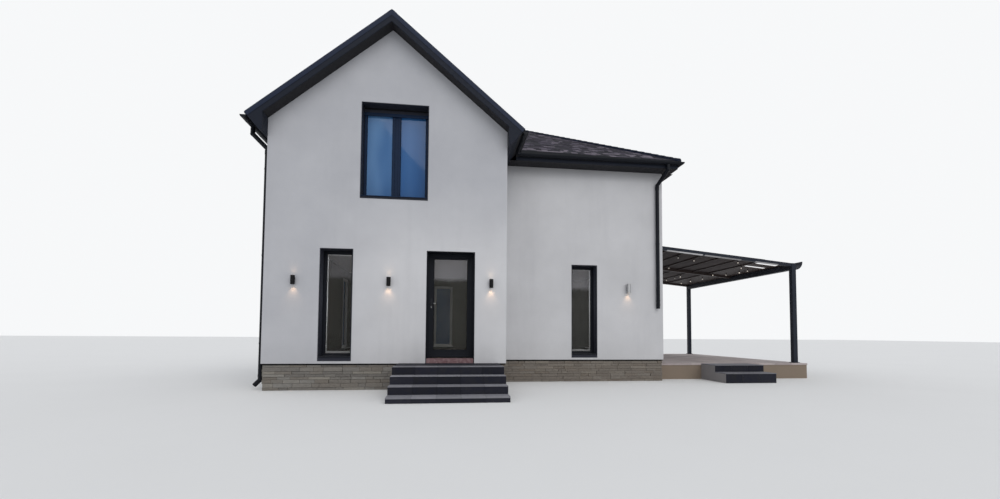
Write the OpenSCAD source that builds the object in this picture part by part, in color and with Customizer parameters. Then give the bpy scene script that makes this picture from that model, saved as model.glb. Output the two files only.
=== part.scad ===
// Detached house: gabled front block, hipped side wing, entrance steps,
// raised terrace and a lean-to pergola with a cloth cover.
// Millimetres. The origin lies at ground level on the centre line of the front
// wall, under the middle of the gable. X runs along the front to the right,
// Y runs from the front to the back, Z points up.

/* [Front block] */
// Width of the gabled front block
front_w = 4860; // [4600:20:5200]
// Depth of the house from the front gable to the back gable
house_d = 7780; // [7600:20:7900]
// Height of the wall head at the eaves of the front block
wall_head = 5465; // [5300:5:5600]
// Pitch of the front block's roof in degrees
gable_pitch = 40; // [38:0.5:42]
// Thickness of the gable roof, square to its slope
gable_roof_t = 185; // [150:5:240]
// Reach of the gable roof past the side walls
gable_eave = 336; // [300:2:380]
// Reach of the gable roof past the front and back walls
gable_verge = 300; // [250:10:360]
// Height of the level soffit under the gable eaves
gable_soffit_z = 5090; // [5000:10:5140]
// Thickness of the verge boards
verge_board = 25; // [20:1:30]

/* [Side wing] */
// Width of the side wing
wing_w = 4140; // [3800:20:4400]
// Set-back of the wing's front behind the gable
wing_setback = 1380; // [1200:20:1600]
// Pitch of the wing's hipped roof in degrees
wing_pitch = 31; // [29:0.5:31]
// Thickness of the wing roof, measured upright
wing_roof_t = 150; // [120:5:180]
// Height of the wing roof's top at its eaves
wing_eave_z = 5480; // [5450:5:5520]
// Reach of the wing roof past its front and back walls
wing_front_over = 380; // [340:10:420]
// Reach of the wing roof past its end wall
wing_side_over = 240; // [200:10:280]
// Height of the wing's level soffit
wing_soffit_z = 5250; // [5220:10:5280]
// Gap between the gable roof and the wing's ridge tiles
cap_start = 80; // [60:5:120]

/* [Walls and floors] */
// Thickness of the plastered walls
wall_t = 400; // [360:10:450]
// Height of the plinth
plinth_h = 530; // [500:5:560]
// Thickness of the plinth walls
plinth_t = 420; // [400:10:480]
// Set-in of the plinth behind the plaster
plinth_inset = 40; // [30:5:50]
// Height of the finished ground floor
floor_z = 600; // [590:5:640]
// Height of the underside of the upper floor
ceiling_z = 3150; // [3100:10:3200]
// Thickness of the upper floor
upper_floor_t = 250; // [200:10:300]

/* [Windows] */
// Width of a narrow window opening
narrow_w = 650; // [600:10:700]
// Height of the bottom of the ground floor windows
narrow_sill_z = 579; // [560:1:620]
// Height of the head of the ground floor openings
head_z = 2855; // [2800:5:2900]
// Width of the wide gable window opening
wide_w = 1376; // [1300:2:1450]
// Offset of the wide window from the middle of the gable
wide_x = 77; // [0:1:100]
// Height of the bottom of the wide window
wide_sill_z = 3908; // [3850:2:3950]
// Height of the head of the wide window
wide_head_z = 5931; // [5880:1:5960]
// Place of the front narrow window left of the gable's middle
front_window_x = 1041; // [950:1:1100]
// Place of the wing's front window right of the gable's middle
wing_window_x = 4535; // [4300:5:4700]
// Place of the wing's first end window behind the wing's front
end_window_front = 2000; // [1800:20:2200]
// Place of the wing's second end window before the back wall
end_window_rear = 1800; // [1600:20:2000]
// Distance of the left wall's windows from its front and back corners
left_window_in = 2200; // [2000:20:2400]
// Depth of the frames behind the plaster
reveal = 280; // [240:10:300]
// Width of the window frame bars
frame_w = 70; // [60:2:80]
// Depth of the window frame bars
frame_d = 70; // [60:2:80]
// Width of the wide window's middle bar
mullion_w = 165; // [140:5:180]
// Height of a sash's bottom bar
sash_low = 60; // [50:2:70]
// Thickness of the dark reveal lining
lining_t = 15; // [10:1:20]
// Projection of the reveal lining past the plaster
lining_out = 3; // [2:1:6]
// Height of the dark bar under a narrow window's frame
under_bar = 80; // [60:5:90]
// Height of the dark bar under the wide window's frame
wide_under_bar = 45; // [40:1:60]
// Thickness of the window panes
pane_t = 24; // [20:1:30]
// Thickness of the sloping metal sills
sill_t = 12; // [8:1:15]
// Fall of the sills from the frame to the front edge
sill_fall = 8; // [5:1:12]
// Projection of the sills past the plaster
sill_out = 30; // [20:2:40]

/* [Front door] */
// Width of the door opening
door_w = 1000; // [960:5:1040]
// Left side of the door opening from the middle of the gable
door_left = 760; // [700:5:800]
// Width of the door frame
door_frame_w = 60; // [50:2:70]
// Extra width of the door stop
door_stop = 15; // [12:1:18]
// Depth of the door stop
door_stop_d = 15; // [12:1:20]
// Clearance between the leaf and the frame at the hinge side
door_gap = 6; // [6:0.5:8]
// Clearance between the leaf and the frame at the latch side
latch_gap = 8; // [8:0.5:10]
// Thickness of the door leaf
leaf_t = 55; // [50:1:60]
// Width of the leaf's stiles
stile_w = 58; // [52:2:80]
// Height of the leaf's top rail
top_rail = 32; // [28:1:50]
// Height of the leaf's bottom rail
bottom_rail = 155; // [120:5:180]
// Height of the metal bar of the threshold
threshold_bar = 20; // [15:1:25]
// Clearance above and below the leaf
rail_gap = 7; // [6:0.5:9]
// Height of the lever above the finished floor
lever_z = 1180; // [1100:5:1200]
// Width of the lever's back plate
plate_w = 34; // [30:1:40]
// Height of the lever's back plate
plate_h = 220; // [200:5:240]
// Thickness of the lever's back plate
plate_t = 8; // [6:1:10]
// Distance of the lever's axis from the leaf
lever_out = 48; // [44:1:52]
// Radius of the lever
lever_r = 9; // [8:0.5:11]
// Length of the lever
lever_len = 125; // [110:5:140]
// Radius of a hinge barrel
hinge_r = 9; // [8:0.5:10]
// Height of each half of a hinge
hinge_half = 45; // [40:1:50]
// Width of a hinge's plates
hinge_plate_w = 45; // [40:1:50]
// Thickness of a hinge's plates
hinge_plate_t = 3; // [2:0.5:4]
// Height of the lowest hinge above the finished floor
hinge_low = 250; // [200:10:300]
// Height from one hinge to the next
hinge_step = 880; // [840:5:900]
// Radius of a hinge pin
hinge_pin_r = 5; // [4:0.5:6]
// Radial clearance of a hinge pin in its barrel
hinge_fit = 0.08; // [0.05:0.01:0.1]

/* [Entrance steps] */
// Width of the entrance steps
step_w = 2040; // [1900:20:2200]
// Middle of the entrance steps from the middle of the gable
step_x = 1240; // [1180:5:1280]
// Depth of the landing in front of the plaster
landing_d = 1060; // [1000:10:1150]
// Depth of one tread
tread_d = 297; // [280:1:320]
// Height of the lowest riser
first_riser = 100; // [80:5:120]

/* [Terrace] */
// Height of the terrace
terrace_h = 400; // [380:5:440]
// Width of the terrace past the wing's end wall
terrace_w = 4280; // [4200:10:4500]
// Set-back of the terrace's front behind the wing's front
terrace_back = 420; // [300:10:500]
// Width of the terrace steps
terrace_step_w = 1310; // [1200:10:1500]
// Left side of the terrace steps from the wing's end wall
terrace_step_x = 1240; // [1000:20:1400]
// Depth of the upper terrace step
terrace_tread_1 = 640; // [500:10:700]
// Depth of the lower terrace step
terrace_tread_2 = 460; // [350:10:500]
// Height of the lower terrace step
terrace_step_h = 232; // [200:2:260]

/* [Pergola] */
// Side of a pergola post
post_s = 120; // [100:5:150]
// Distance of the posts' middle from the terrace's right edge
post_inset = 150; // [130:10:200]
// Distance of the front post's middle from the terrace's front edge
post_back = 260; // [200:10:320]
// Inner radius of the curved lip of the outer beam's gutter
lip_r = 195; // [180:5:220]
// Thickness of the curved lip
lip_t = 24; // [18:2:30]
// Overlap of the curved lip with the outer beam
lip_bite = 15; // [10:1:20]
// Height of the underside of the outer beam
outer_beam_z = 2972; // [2900:2:3000]
// Height of the rails' top at the wing's wall
rail_wall_z = 3538; // [3500:2:3560]
// Fall of the rails per metre
rail_fall = 94; // [80:1:100]
// Height of a rail
rail_h = 90; // [80:5:120]
// Width of a rail
rail_w = 100; // [80:5:120]
// Thickness of the cloth cover
cover_t = 16; // [12:1:20]
// Number of cross bars under the cover
cross_bars = 6; // [4:1:8]
// Side of a cross bar
cross_bar_s = 34; // [28:1:40]
// Length of the boards between the cloth cover and the outer beam
slat_run = 790; // [600:10:950]
// Thickness of these boards
slat_h = 28; // [20:2:34]
// Gap between the boards and a rail
slat_gap = 4; // [3:1:8]
// First open slot's middle behind the front rail's middle
slot_first = 435; // [300:5:600]
// Step from the first open slot to the second
slot_step = 520; // [450:5:700]
// Width of an open slot
slot_w = 330; // [120:5:360]
// Thickness of the beam on the wing's wall
wall_beam_t = 80; // [60:5:100]
// Height of the beam on the wing's wall
wall_beam_h = 195; // [180:5:220]
// Rise of the wall beam's top over the rails
wall_beam_up = 25; // [20:1:30]

/* [Gutters and lamps] */
// Outer radius of a gutter
gutter_r = 62; // [56:1:70]
// Thickness of the gutter metal
gutter_t = 4; // [3:0.5:5]
// Height of the gutter rims on the front block
gable_gutter_z = 5375; // [5360:1:5390]
// Height of the gutter rims on the wing
wing_gutter_z = 5390; // [5370:5:5410]
// Rise of the wing gutter's front leaf over its rim, at the end away from the outlet
gutter_leaf_h = 70; // [50:5:80]
// Lap of the front leaf below the rim
gutter_leaf_lap = 10; // [6:1:15]
// Gap between the gable roof's edge and the wing's front gutter
gutter_start = 40; // [30:5:60]
// Gap between the front block's right gutter and the wing's gutter
gutter_end_gap = 20; // [10:5:40]
// Outer radius of a downpipe
pipe_r = 45; // [40:1:50]
// Gap between a downpipe and the wall
pipe_gap = 20; // [15:1:30]
// Thickness of the downpipe metal at an open end
pipe_t = 4; // [3:0.5:5]
// Length of the straight outlet under a gutter
outlet_len = 120; // [100:5:150]
// Drop from a gutter to the downpipe's straight run
neck_drop = 415; // [380:5:450]
// Place of the left downpipe behind the front plaster
left_pipe_y = 190; // [150:5:250]
// Place of the wing's downpipe before the wing's corner
wing_pipe_x = 155; // [130:5:200]
// Place of the wing gutter's outlet before the wing's corner
wing_outlet_x = 40; // [20:5:100]
// Height of the wing downpipe's open end
pipe_end_z = 1800; // [1700:10:1900]
// Height of the left downpipe's bend over the ground
shoe_z = 200; // [180:5:240]
// Reach of the left downpipe's shoe
shoe_out = 110; // [90:5:130]
// Width of a pipe clip
clip_w = 28; // [20:2:36]
// Height of a pipe clip
clip_h = 30; // [24:2:40]
// Radius of a wall lamp
lamp_r = 42; // [38:1:45]
// Height of a wall lamp's tube
lamp_h = 180; // [160:5:200]
// Thickness of the lamp tubes
lamp_t = 5; // [4:0.5:7]
// Depth of the hollow at a lamp's ends
lamp_hollow = 25; // [20:1:35]
// Distance of a wall lamp's middle from the plaster
lamp_out = 70; // [60:1:80]
// Height of the middle of the wall lamps
lamp_z = 2195; // [2150:5:2250]
// Place of the left wall lamp left of the gable's middle
lamp_left_x = 1854; // [1800:2:1900]
// Place of the middle wall lamp from the gable's middle
lamp_mid_x = 3; // [0:1:20]
// Place of the right wall lamp right of the gable's middle
lamp_right_x = 2101; // [2050:1:2150]
// Radius of the wing's lamp
side_lamp_r = 50; // [40:1:55]
// Height of the wing's lamp
side_lamp_h = 220; // [200:5:240]
// Distance of the wing lamp's middle from the plaster
side_lamp_out = 75; // [65:1:85]
// Rise of the wing's lamp over the other lamps
side_lamp_rise = 95; // [80:5:110]
// Place of the wing's lamp before the wing's corner
side_lamp_x = 926; // [900:2:1000]
// Width of the ridge and hip tiles
cap_w = 200; // [160:5:220]
// Height of the ridge and hip tiles above the roof planes' meeting line
cap_h = 25; // [20:1:40]
// Thickness of a ridge tile's rim
cap_rim = 8; // [6:1:12]
// Distance of a ridge tile's bend from its rim
cap_bend = 60; // [40:5:70]

/* [Hidden] */
$fn = 48;
// Narrow gap where sloping or glazed pieces rest on each other
seat = 0.3;
// Play between the two halves of a hinge
hinge_play = 1;
// Rise of a downpipe's elbow over the pipe
elbow_up = 4;
// Depth that a pipe clip reaches into its pipe
clip_bite = 6;
// Overshoot of a cut through a wall
past = 50;
// A length past the whole house, for cuts
far = 2 * (front_w + wing_w + house_d);
front_y = -wall_t / 2;
rear_y = front_y + house_d;
hw = front_w / 2;
wing_x1 = hw + wing_w;
wing_y0 = front_y + wing_setback;
plinth_y = front_y + plinth_inset;

// The gable roof: heights on its top plane and its underside
g_tan = tan(gable_pitch);
g_sin = sin(gable_pitch);
g_cos = cos(gable_pitch);
ridge_under = wall_head + hw * g_tan;
ridge_top = ridge_under + gable_roof_t / g_cos;
eave_x = hw + gable_eave;
eave_top = ridge_top - eave_x * g_tan;
edge_x = eave_x - gable_roof_t * g_sin;
edge_z = eave_top - gable_roof_t * g_cos;
box_x = edge_x - (edge_z - gable_soffit_z) * g_tan;
wall_top = wall_head - seat;
peak_top = ridge_under - seat;
inner_top = wall_top + wall_t * g_tan;

// The wing roof
w_tan = tan(wing_pitch);
we_y0 = wing_y0 - wing_front_over;
we_y1 = rear_y + wing_front_over;
we_x1 = wing_x1 + wing_side_over;
wing_half = (we_y1 - we_y0) / 2;
wing_ridge_y = (we_y0 + we_y1) / 2;
wing_ridge_z = wing_eave_z + wing_half * w_tan;
wing_start_x = eave_x + seat;
hip_x = we_x1 - wing_half;
wing_ridge_x0 = (ridge_top - wing_ridge_z + cap_w / 2 * w_tan) / g_tan + cap_start;

// Openings
pane_y = reveal + (frame_d - pane_t) / 2;
door_x1 = door_left + door_w;
frame_y0 = front_y + reveal;
leaf_y0 = frame_y0 + door_stop_d + door_gap;
leaf_y1 = leaf_y0 + leaf_t;
leaf_x0 = door_left + door_frame_w + latch_gap;
leaf_x1 = door_x1 - door_frame_w - door_gap;
leaf_z0 = floor_z + threshold_bar + rail_gap;
leaf_z1 = head_z - door_frame_w - rail_gap;
pivot_x = leaf_x1 + door_gap / 2;
pivot_y = leaf_y1 + hinge_r + hinge_play;
hinge_zs = [for (i = [0:2]) floor_z + hinge_low + i * hinge_step];
riser = (plinth_h - first_riser) / 3;

// Pergola
post_x = wing_x1 + terrace_w - post_inset;
terrace_y0 = wing_y0 + terrace_back;
post_y0 = terrace_y0 + post_back;
post_y1 = rear_y - post_s / 2;
rail_x0 = wing_x1 + wall_beam_t;
rail_x1 = post_x - post_s / 2;
rail_ys = [post_y0, (post_y0 + post_y1) / 2, post_y1];
cover_reach = rail_x1 - rail_x0 - slat_run;
function rail_top(x) = rail_wall_z - (x - wing_x1) * rail_fall / 1000;

// Places of the narrow windows: x, y on the plaster, turn about Z
narrow_places = [
    [-front_window_x, front_y, 0],
    [wing_window_x, wing_y0, 0],
    [wing_x1, wing_y0 + end_window_front, 90],
    [wing_x1, rear_y - end_window_rear, 90],
    [wing_window_x, rear_y, 180],
    [front_window_x, rear_y, 180],
    [-front_window_x, rear_y, 180],
    [-hw, rear_y - left_window_in, 270],
    [-hw, front_y + left_window_in, 270]
];
// Heights of the pipe clips
left_clip_zs = [for (part = [0.17, 0.5, 0.83]) part * gable_gutter_z];
wing_clip_zs = [for (part = [0.05, 0.45, 0.85]) pipe_end_z + part * (wing_gutter_z - pipe_end_z)];
// Places of the wide windows
wide_places = [[wide_x, front_y, 0], [-wide_x, rear_y, 180]];
lamp_xs = [-lamp_left_x, lamp_mid_x, lamp_right_x];

// Helpers
module box(x0, y0, z0, x1, y1, z1) {
    translate([x0, y0, z0]) cube([x1 - x0, y1 - y0, z1 - z0]);
}

// A section in X and Z, drawn out along Y from y0 to y1
module along_y(y0, y1) {
    translate([0, y1, 0]) rotate([90, 0, 0]) linear_extrude(height = y1 - y0) children();
}

// A section in Y and Z, drawn out along X from x0 to x1
module along_x(x0, x1) {
    translate([x0, 0, 0]) rotate([90, 0, 90]) linear_extrude(height = x1 - x0) children();
}

module at_places(places) {
    for (p = places) translate([p[0], p[1], 0]) rotate([0, 0, p[2]]) children();
}

// A round bar between two points
module bar(a, b, r) {
    d = b - a;
    len = norm(d);
    translate(a) rotate([0, acos(d[2] / len), atan2(d[1], d[0])]) cylinder(r = r, h = len);
}

// Everything below the hipped roof, lowered by drop
module hip_volume(drop) {
    intersection() {
        along_x(0, we_x1)
            polygon([[we_y0, 0], [we_y1, 0], [we_y1, wing_eave_z - drop],
                [wing_ridge_y, wing_ridge_z - drop], [we_y0, wing_eave_z - drop]]);
        along_y(we_y0 - 1, we_y1 + 1)
            polygon([[0, 0], [we_x1, 0], [we_x1, wing_eave_z - drop],
                [0, wing_eave_z + we_x1 * w_tan - drop]]);
    }
}

// The space taken by the gable roof's right slope and all above it
module above_gable_right() {
    x = eave_x + seat;
    along_y(-far, far)
        polygon([[0, peak_top], [edge_x, edge_z - seat], [x, eave_top - seat], [x, far], [0, far]]);
}

// The volume below the gable roof's top planes, with the seat above them
module gable_volume() {
    x = eave_x + seat;
    along_y(-far, far)
        polygon([[-x, 0], [x, 0], [x, eave_top + seat], [0, ridge_top + seat], [-x, eave_top + seat]]);
}

// Plinth and floors
module plinth() {
    p = plinth_inset;
    t = plinth_t;
    color([0.47, 0.45, 0.41]) difference() {
        union() {
            box(-hw + p, front_y + p, 0, hw - p, rear_y - p, plinth_h);
            box(0, wing_y0 + p, 0, wing_x1 - p, rear_y - p, plinth_h);
        }
        union() {
            box(-hw + p + t, front_y + p + t, -1, hw - p - t, rear_y - p - t, plinth_h + 1);
            box(0, wing_y0 + p + t, -1, wing_x1 - p - t, rear_y - p - t, plinth_h + 1);
        }
    }
}

module floor_plan() {
    t = wall_t;
    polygon([[-hw + t, front_y + t], [hw - t, front_y + t], [hw - t, wing_y0 + t],
        [wing_x1 - t, wing_y0 + t], [wing_x1 - t, rear_y - t], [-hw + t, rear_y - t]]);
}

module ground_floor() {
    color([0.62, 0.56, 0.47]) translate([0, 0, plinth_h])
        linear_extrude(height = floor_z - plinth_h) floor_plan();
}

module upper_floor() {
    color([0.75, 0.74, 0.72]) translate([0, 0, ceiling_z])
        linear_extrude(height = upper_floor_t) floor_plan();
}

// Holes for the windows, cut through a wall
module narrow_holes() {
    at_places(narrow_places)
        box(-narrow_w / 2, -past, narrow_sill_z, narrow_w / 2, wall_t + past, head_z);
}

module wide_holes() {
    at_places(wide_places)
        box(-wide_w / 2, -past, wide_sill_z, wide_w / 2, wall_t + past, wide_head_z);
}

module plaster() {
    color([0.80, 0.80, 0.79]) children();
}

// Walls of the front block
module front_wall_left() {
    plaster() difference() {
        box(-hw, front_y, plinth_h, door_left, front_y + wall_t, head_z);
        narrow_holes();
    }
}

module front_wall_right() {
    plaster() box(door_x1, front_y, plinth_h, hw, front_y + wall_t, head_z);
}

module front_gable_wall() {
    plaster() difference() {
        along_y(front_y, front_y + wall_t)
            polygon([[-hw, head_z], [hw, head_z], [hw, wall_top], [0, peak_top], [-hw, wall_top]]);
        wide_holes();
    }
}

module left_wall() {
    plaster() difference() {
        along_y(front_y + wall_t, rear_y - wall_t)
            polygon([[-hw, plinth_h], [-hw + wall_t, plinth_h], [-hw + wall_t, inner_top],
                [-hw, wall_top]]);
        narrow_holes();
    }
}

module rear_gable_wall() {
    plaster() difference() {
        along_y(rear_y - wall_t, rear_y)
            polygon([[-hw, plinth_h], [hw, plinth_h], [hw, wall_top], [0, peak_top], [-hw, wall_top]]);
        narrow_holes();
        wide_holes();
    }
}

module return_wall() {
    plaster() along_y(front_y + wall_t, wing_y0 + wall_t)
        polygon([[hw - wall_t, plinth_h], [hw, plinth_h], [hw, wall_top], [hw - wall_t, inner_top]]);
}

// Walls of the wing, cut off under both roofs
module wing_wall(x0, y0, x1, y1) {
    plaster() difference() {
        intersection() {
            box(x0, y0, plinth_h, x1, y1, far);
            hip_volume(wing_roof_t + seat);
        }
        above_gable_right();
        narrow_holes();
    }
}

module wing_front_wall() {
    wing_wall(hw, wing_y0, wing_x1, wing_y0 + wall_t);
}

module wing_end_wall() {
    wing_wall(wing_x1 - wall_t, wing_y0 + wall_t, wing_x1, rear_y - wall_t);
}

module wing_rear_wall() {
    wing_wall(hw, rear_y - wall_t, wing_x1, rear_y);
}

// Gable roof
module gable_slope() {
    polygon([[0, ridge_under], [edge_x, edge_z], [eave_x, eave_top], [0, ridge_top]]);
}

module eave_section(drop) {
    polygon([[hw, gable_soffit_z], [box_x, gable_soffit_z], [edge_x, edge_z - drop], [hw, wall_head - drop]]);
}

module gable_roof_right() {
    color([0.16, 0.15, 0.16])
        along_y(front_y - gable_verge + verge_board, rear_y + gable_verge - verge_board) gable_slope();
}

module gable_roof_left() {
    mirror([1, 0, 0]) gable_roof_right();
}

// Boards on the verges, which also close the ends of the eaves
module verge_boards() {
    color([0.13, 0.14, 0.16])
        for (y = [front_y - gable_verge, rear_y + gable_verge - verge_board])
            along_y(y, y + verge_board) {
                gable_slope();
                mirror([1, 0]) gable_slope();
                eave_section(0);
                mirror([1, 0]) eave_section(0);
            }
}

module eave_boxes() {
    y0 = front_y - gable_verge + verge_board;
    y1 = rear_y + gable_verge - verge_board;
    color([0.17, 0.16, 0.16]) {
        mirror([1, 0, 0]) along_y(y0, y1) eave_section(seat);
        along_y(y0, wing_y0) eave_section(seat);
        along_y(rear_y, y1) eave_section(seat);
    }
}

// Wing roof: three slabs that meet along the hips and the ridge
module plan_prism(points) {
    linear_extrude(height = far) polygon(points);
}

// The front slab reaches left to where it dies into the gable roof
module wing_roof_front() {
    top = wing_ridge_z;
    color([0.17, 0.16, 0.17]) difference() {
        intersection() {
            along_x(0, we_x1)
                polygon([[we_y0, wing_eave_z], [wing_ridge_y, top], [wing_ridge_y, top - wing_roof_t],
                    [we_y0, wing_eave_z - wing_roof_t]]);
            plan_prism([[0, we_y0], [we_x1, we_y0], [hip_x, wing_ridge_y], [0, wing_ridge_y]]);
        }
        gable_volume();
    }
}

module wing_roof_rear() {
    translate([0, 2 * wing_ridge_y, 0]) mirror([0, 1, 0]) wing_roof_front();
}

module wing_roof_end() {
    top = wing_ridge_z;
    color([0.17, 0.16, 0.17]) intersection() {
        along_y(we_y0, we_y1)
            polygon([[we_x1, wing_eave_z], [hip_x, top], [hip_x, top - wing_roof_t],
                [we_x1, wing_eave_z - wing_roof_t]]);
        plan_prism([[we_x1, we_y0], [we_x1, we_y1], [hip_x, wing_ridge_y]]);
    }
}

// Boxed eaves round the wing
module wing_eaves() {
    color([0.15, 0.15, 0.16]) difference() {
        intersection() {
            box(wing_start_x, we_y0, wing_soffit_z, we_x1, we_y1, far);
            hip_volume(wing_roof_t + seat);
        }
        box(0, wing_y0, 0, wing_x1, rear_y, far);
    }
}

// Angled tiles along the ridges and hips, which sit on the slopes
module cap_section(top, slope) {
    side = cap_w / 2;
    rim = -side * slope;
    translate([0, top]) polygon([[0, 0], [side, rim], [side, rim + cap_rim], [side - cap_bend, cap_h],
        [cap_bend - side, cap_h], [-side, rim + cap_rim], [-side, rim]]);
}

// The cap of one hip: it starts at the hips' top and is cut off there
module hip_cap() {
    w_slope = w_tan / sqrt(2 + w_tan * w_tan);
    hip_len = norm([wing_half, wing_half, wing_half * w_tan]);
    intersection() {
        translate([we_x1, we_y0, wing_eave_z]) rotate([0, 0, 45]) rotate([atan(w_tan / sqrt(2)), 0, 0])
            along_y(0, hip_len + cap_w) cap_section(seat, w_slope);
        box(hip_x + seat, we_y0 - cap_w, 0, we_x1 + cap_w, wing_ridge_y - seat, far);
    }
}

module roof_caps() {
    color([0.14, 0.13, 0.14]) {
        along_y(front_y - gable_verge, rear_y + gable_verge) cap_section(ridge_top + seat, g_tan);
        translate([0, wing_ridge_y, 0]) along_x(wing_ridge_x0, hip_x)
            cap_section(wing_ridge_z + seat, w_tan);
        hip_cap();
        translate([0, 2 * wing_ridge_y, 0]) mirror([0, 1, 0]) hip_cap();
    }
}

// Gutters: a run starts with a closed end and points along Y
module half_pipe(len, closed_end) {
    bore = closed_end ? len - 2 * gutter_t : len;
    rotate([-90, 0, 0]) difference() {
        cylinder(r = gutter_r, h = len);
        translate([0, 0, gutter_t]) cylinder(r = gutter_r - gutter_t, h = bore);
        translate([-gutter_r - 1, -gutter_r - 1, -1]) cube([2 * gutter_r + 2, gutter_r + 1, len + 2]);
    }
}

gable_gutter_x = eave_x - (eave_top - gable_gutter_z) * g_tan + gutter_r + seat;
gable_gutter_y0 = front_y - gable_verge;
wing_gutter_y = we_y0 - gutter_r - seat;
wing_gutter_x = we_x1 + gutter_r + seat;
wing_gutter_x0 = wing_start_x + gutter_start;

// The half-space outside the mitre of the wing gutter's front corner
module past_mitre(shift) {
    translate([wing_gutter_x, wing_gutter_y, wing_gutter_z]) rotate([0, 0, 45])
        translate([shift, -far, -far]) cube(2 * far);
}

// The wing gutter falls to its outlet, so its front stands higher at the other end
module gutter_leaf() {
    low = wing_gutter_z - gutter_leaf_lap;
    along_y(wing_gutter_y - gutter_r, wing_gutter_y - gutter_r + gutter_t)
        polygon([[wing_gutter_x0, low], [wing_gutter_x, low], [wing_gutter_x, wing_gutter_z],
            [wing_gutter_x0, wing_gutter_z + gutter_leaf_h]]);
}

module wing_front_gutter() {
    difference() {
        union() {
            translate([wing_gutter_x0, wing_gutter_y, wing_gutter_z]) rotate([0, 0, -90])
                half_pipe(wing_gutter_x - wing_gutter_x0 + 2 * gutter_r, false);
            gutter_leaf();
        }
        past_mitre(-seat);
    }
}

module wing_end_gutter() {
    intersection() {
        translate([wing_gutter_x, wing_gutter_y - 2 * gutter_r, wing_gutter_z])
            half_pipe(2 * wing_half + 6 * gutter_r, false);
        past_mitre(seat);
        translate([0, 2 * wing_ridge_y, 0]) mirror([0, 1, 0]) past_mitre(seat);
    }
}

module gutters() {
    color([0.12, 0.13, 0.15]) {
        translate([-gable_gutter_x, gable_gutter_y0, gable_gutter_z])
            half_pipe(house_d + 2 * gable_verge, true);
        translate([gable_gutter_x, gable_gutter_y0, gable_gutter_z])
            half_pipe(wing_gutter_y - gutter_r - gutter_end_gap - gable_gutter_y0, true);
        wing_front_gutter();
        wing_end_gutter();
        translate([0, 2 * wing_ridge_y, 0]) mirror([0, 1, 0]) wing_front_gutter();
    }
}

// Downpipes, each with a swan neck under its gutter
module pipe_run(points, r) {
    for (i = [0:len(points) - 2]) bar(points[i], points[i + 1], r);
    for (i = [1:len(points) - 2]) translate(points[i]) sphere(r = r + elbow_up);
}

module downpipes() {
    left_x = -hw - pipe_gap - pipe_r;
    left_y = front_y + left_pipe_y;
    wing_x = wing_x1 - wing_pipe_x;
    wing_y = wing_y0 - pipe_gap - pipe_r;
    outlet_x = wing_x1 - wing_outlet_x;
    left_low = gable_gutter_z - gutter_r - seat;
    wing_low = wing_gutter_z - gutter_r - seat;
    color([0.12, 0.13, 0.15]) {
        pipe_run([[-gable_gutter_x, left_y, left_low], [-gable_gutter_x, left_y, left_low - outlet_len],
            [left_x, left_y, left_low - neck_drop], [left_x, left_y, shoe_z],
            [left_x - shoe_out, left_y, shoe_z - shoe_out]], pipe_r);
        difference() {
            pipe_run([[outlet_x, wing_gutter_y, wing_low],
                [outlet_x, wing_gutter_y, wing_low - outlet_len],
                [wing_x, wing_y, wing_low - neck_drop], [wing_x, wing_y, pipe_end_z]], pipe_r);
            translate([wing_x, wing_y, pipe_end_z - 1]) cylinder(r = pipe_r - pipe_t, h = outlet_len);
        }
        for (z = left_clip_zs)
            box(-hw - pipe_gap - clip_bite, left_y - clip_w / 2, z, -hw, left_y + clip_w / 2,
                z + clip_h);
        for (z = wing_clip_zs)
            box(wing_x - clip_w / 2, wing_y0 - pipe_gap - clip_bite, z, wing_x + clip_w / 2, wing_y0,
                z + clip_h);
    }
}

// Windows: local x along the wall, y inwards from the plaster
module lining(w, z0, z1, low) {
    difference() {
        box(-w / 2, -lining_out, z0, w / 2, reveal, z1);
        box(-w / 2 + lining_t, -lining_out - 1, z0 + low, w / 2 - lining_t, reveal + 1, z1 - lining_t);
    }
}

module frame_ring(w, z0, z1, low) {
    difference() {
        box(-w / 2, reveal, z0, w / 2, reveal + frame_d, z1);
        box(-w / 2 + frame_w, reveal - 1, z0 + low + sash_low, w / 2 - frame_w, reveal + frame_d + 1,
            z1 - frame_w);
    }
}

module window_linings() {
    color([0.09, 0.10, 0.12]) {
        at_places(narrow_places) lining(narrow_w, narrow_sill_z, head_z, under_bar);
        at_places(wide_places) lining(wide_w, wide_sill_z, wide_head_z, wide_under_bar);
    }
}

module window_frames() {
    color([0.10, 0.11, 0.14]) {
        at_places(narrow_places) frame_ring(narrow_w, narrow_sill_z, head_z, under_bar);
        at_places(wide_places) {
            frame_ring(wide_w, wide_sill_z, wide_head_z, wide_under_bar);
            box(-mullion_w / 2, reveal, wide_sill_z + wide_under_bar, mullion_w / 2, reveal + frame_d,
                wide_head_z - frame_w);
        }
    }
}

module pane(x0, x1, z0, z1) {
    box(x0 + seat, pane_y, z0 + seat, x1 - seat, pane_y + pane_t, z1 - seat);
}

module window_glass() {
    low = narrow_sill_z + under_bar + sash_low;
    wide_low = wide_sill_z + wide_under_bar + sash_low;
    color([0.25, 0.32, 0.38, 0.5]) {
        at_places(narrow_places)
            pane(-narrow_w / 2 + frame_w, narrow_w / 2 - frame_w, low, head_z - frame_w);
        at_places(wide_places) {
            pane(-wide_w / 2 + frame_w, -mullion_w / 2, wide_low, wide_head_z - frame_w);
            pane(mullion_w / 2, wide_w / 2 - frame_w, wide_low, wide_head_z - frame_w);
        }
    }
}

// Metal sills that lie on the frame's lower bar and run out past the plaster
module sill(w, z) {
    back = reveal - seat;
    side = w / 2 - lining_t - seat;
    along_x(-side, side)
        polygon([[-sill_out, z], [back, z], [back, z + sill_t + sill_fall], [-sill_out, z + sill_t]]);
}

module window_sills() {
    color([0.09, 0.10, 0.12]) {
        at_places(narrow_places) sill(narrow_w, narrow_sill_z + under_bar);
        at_places(wide_places) sill(wide_w, wide_sill_z + wide_under_bar);
    }
}

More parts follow.
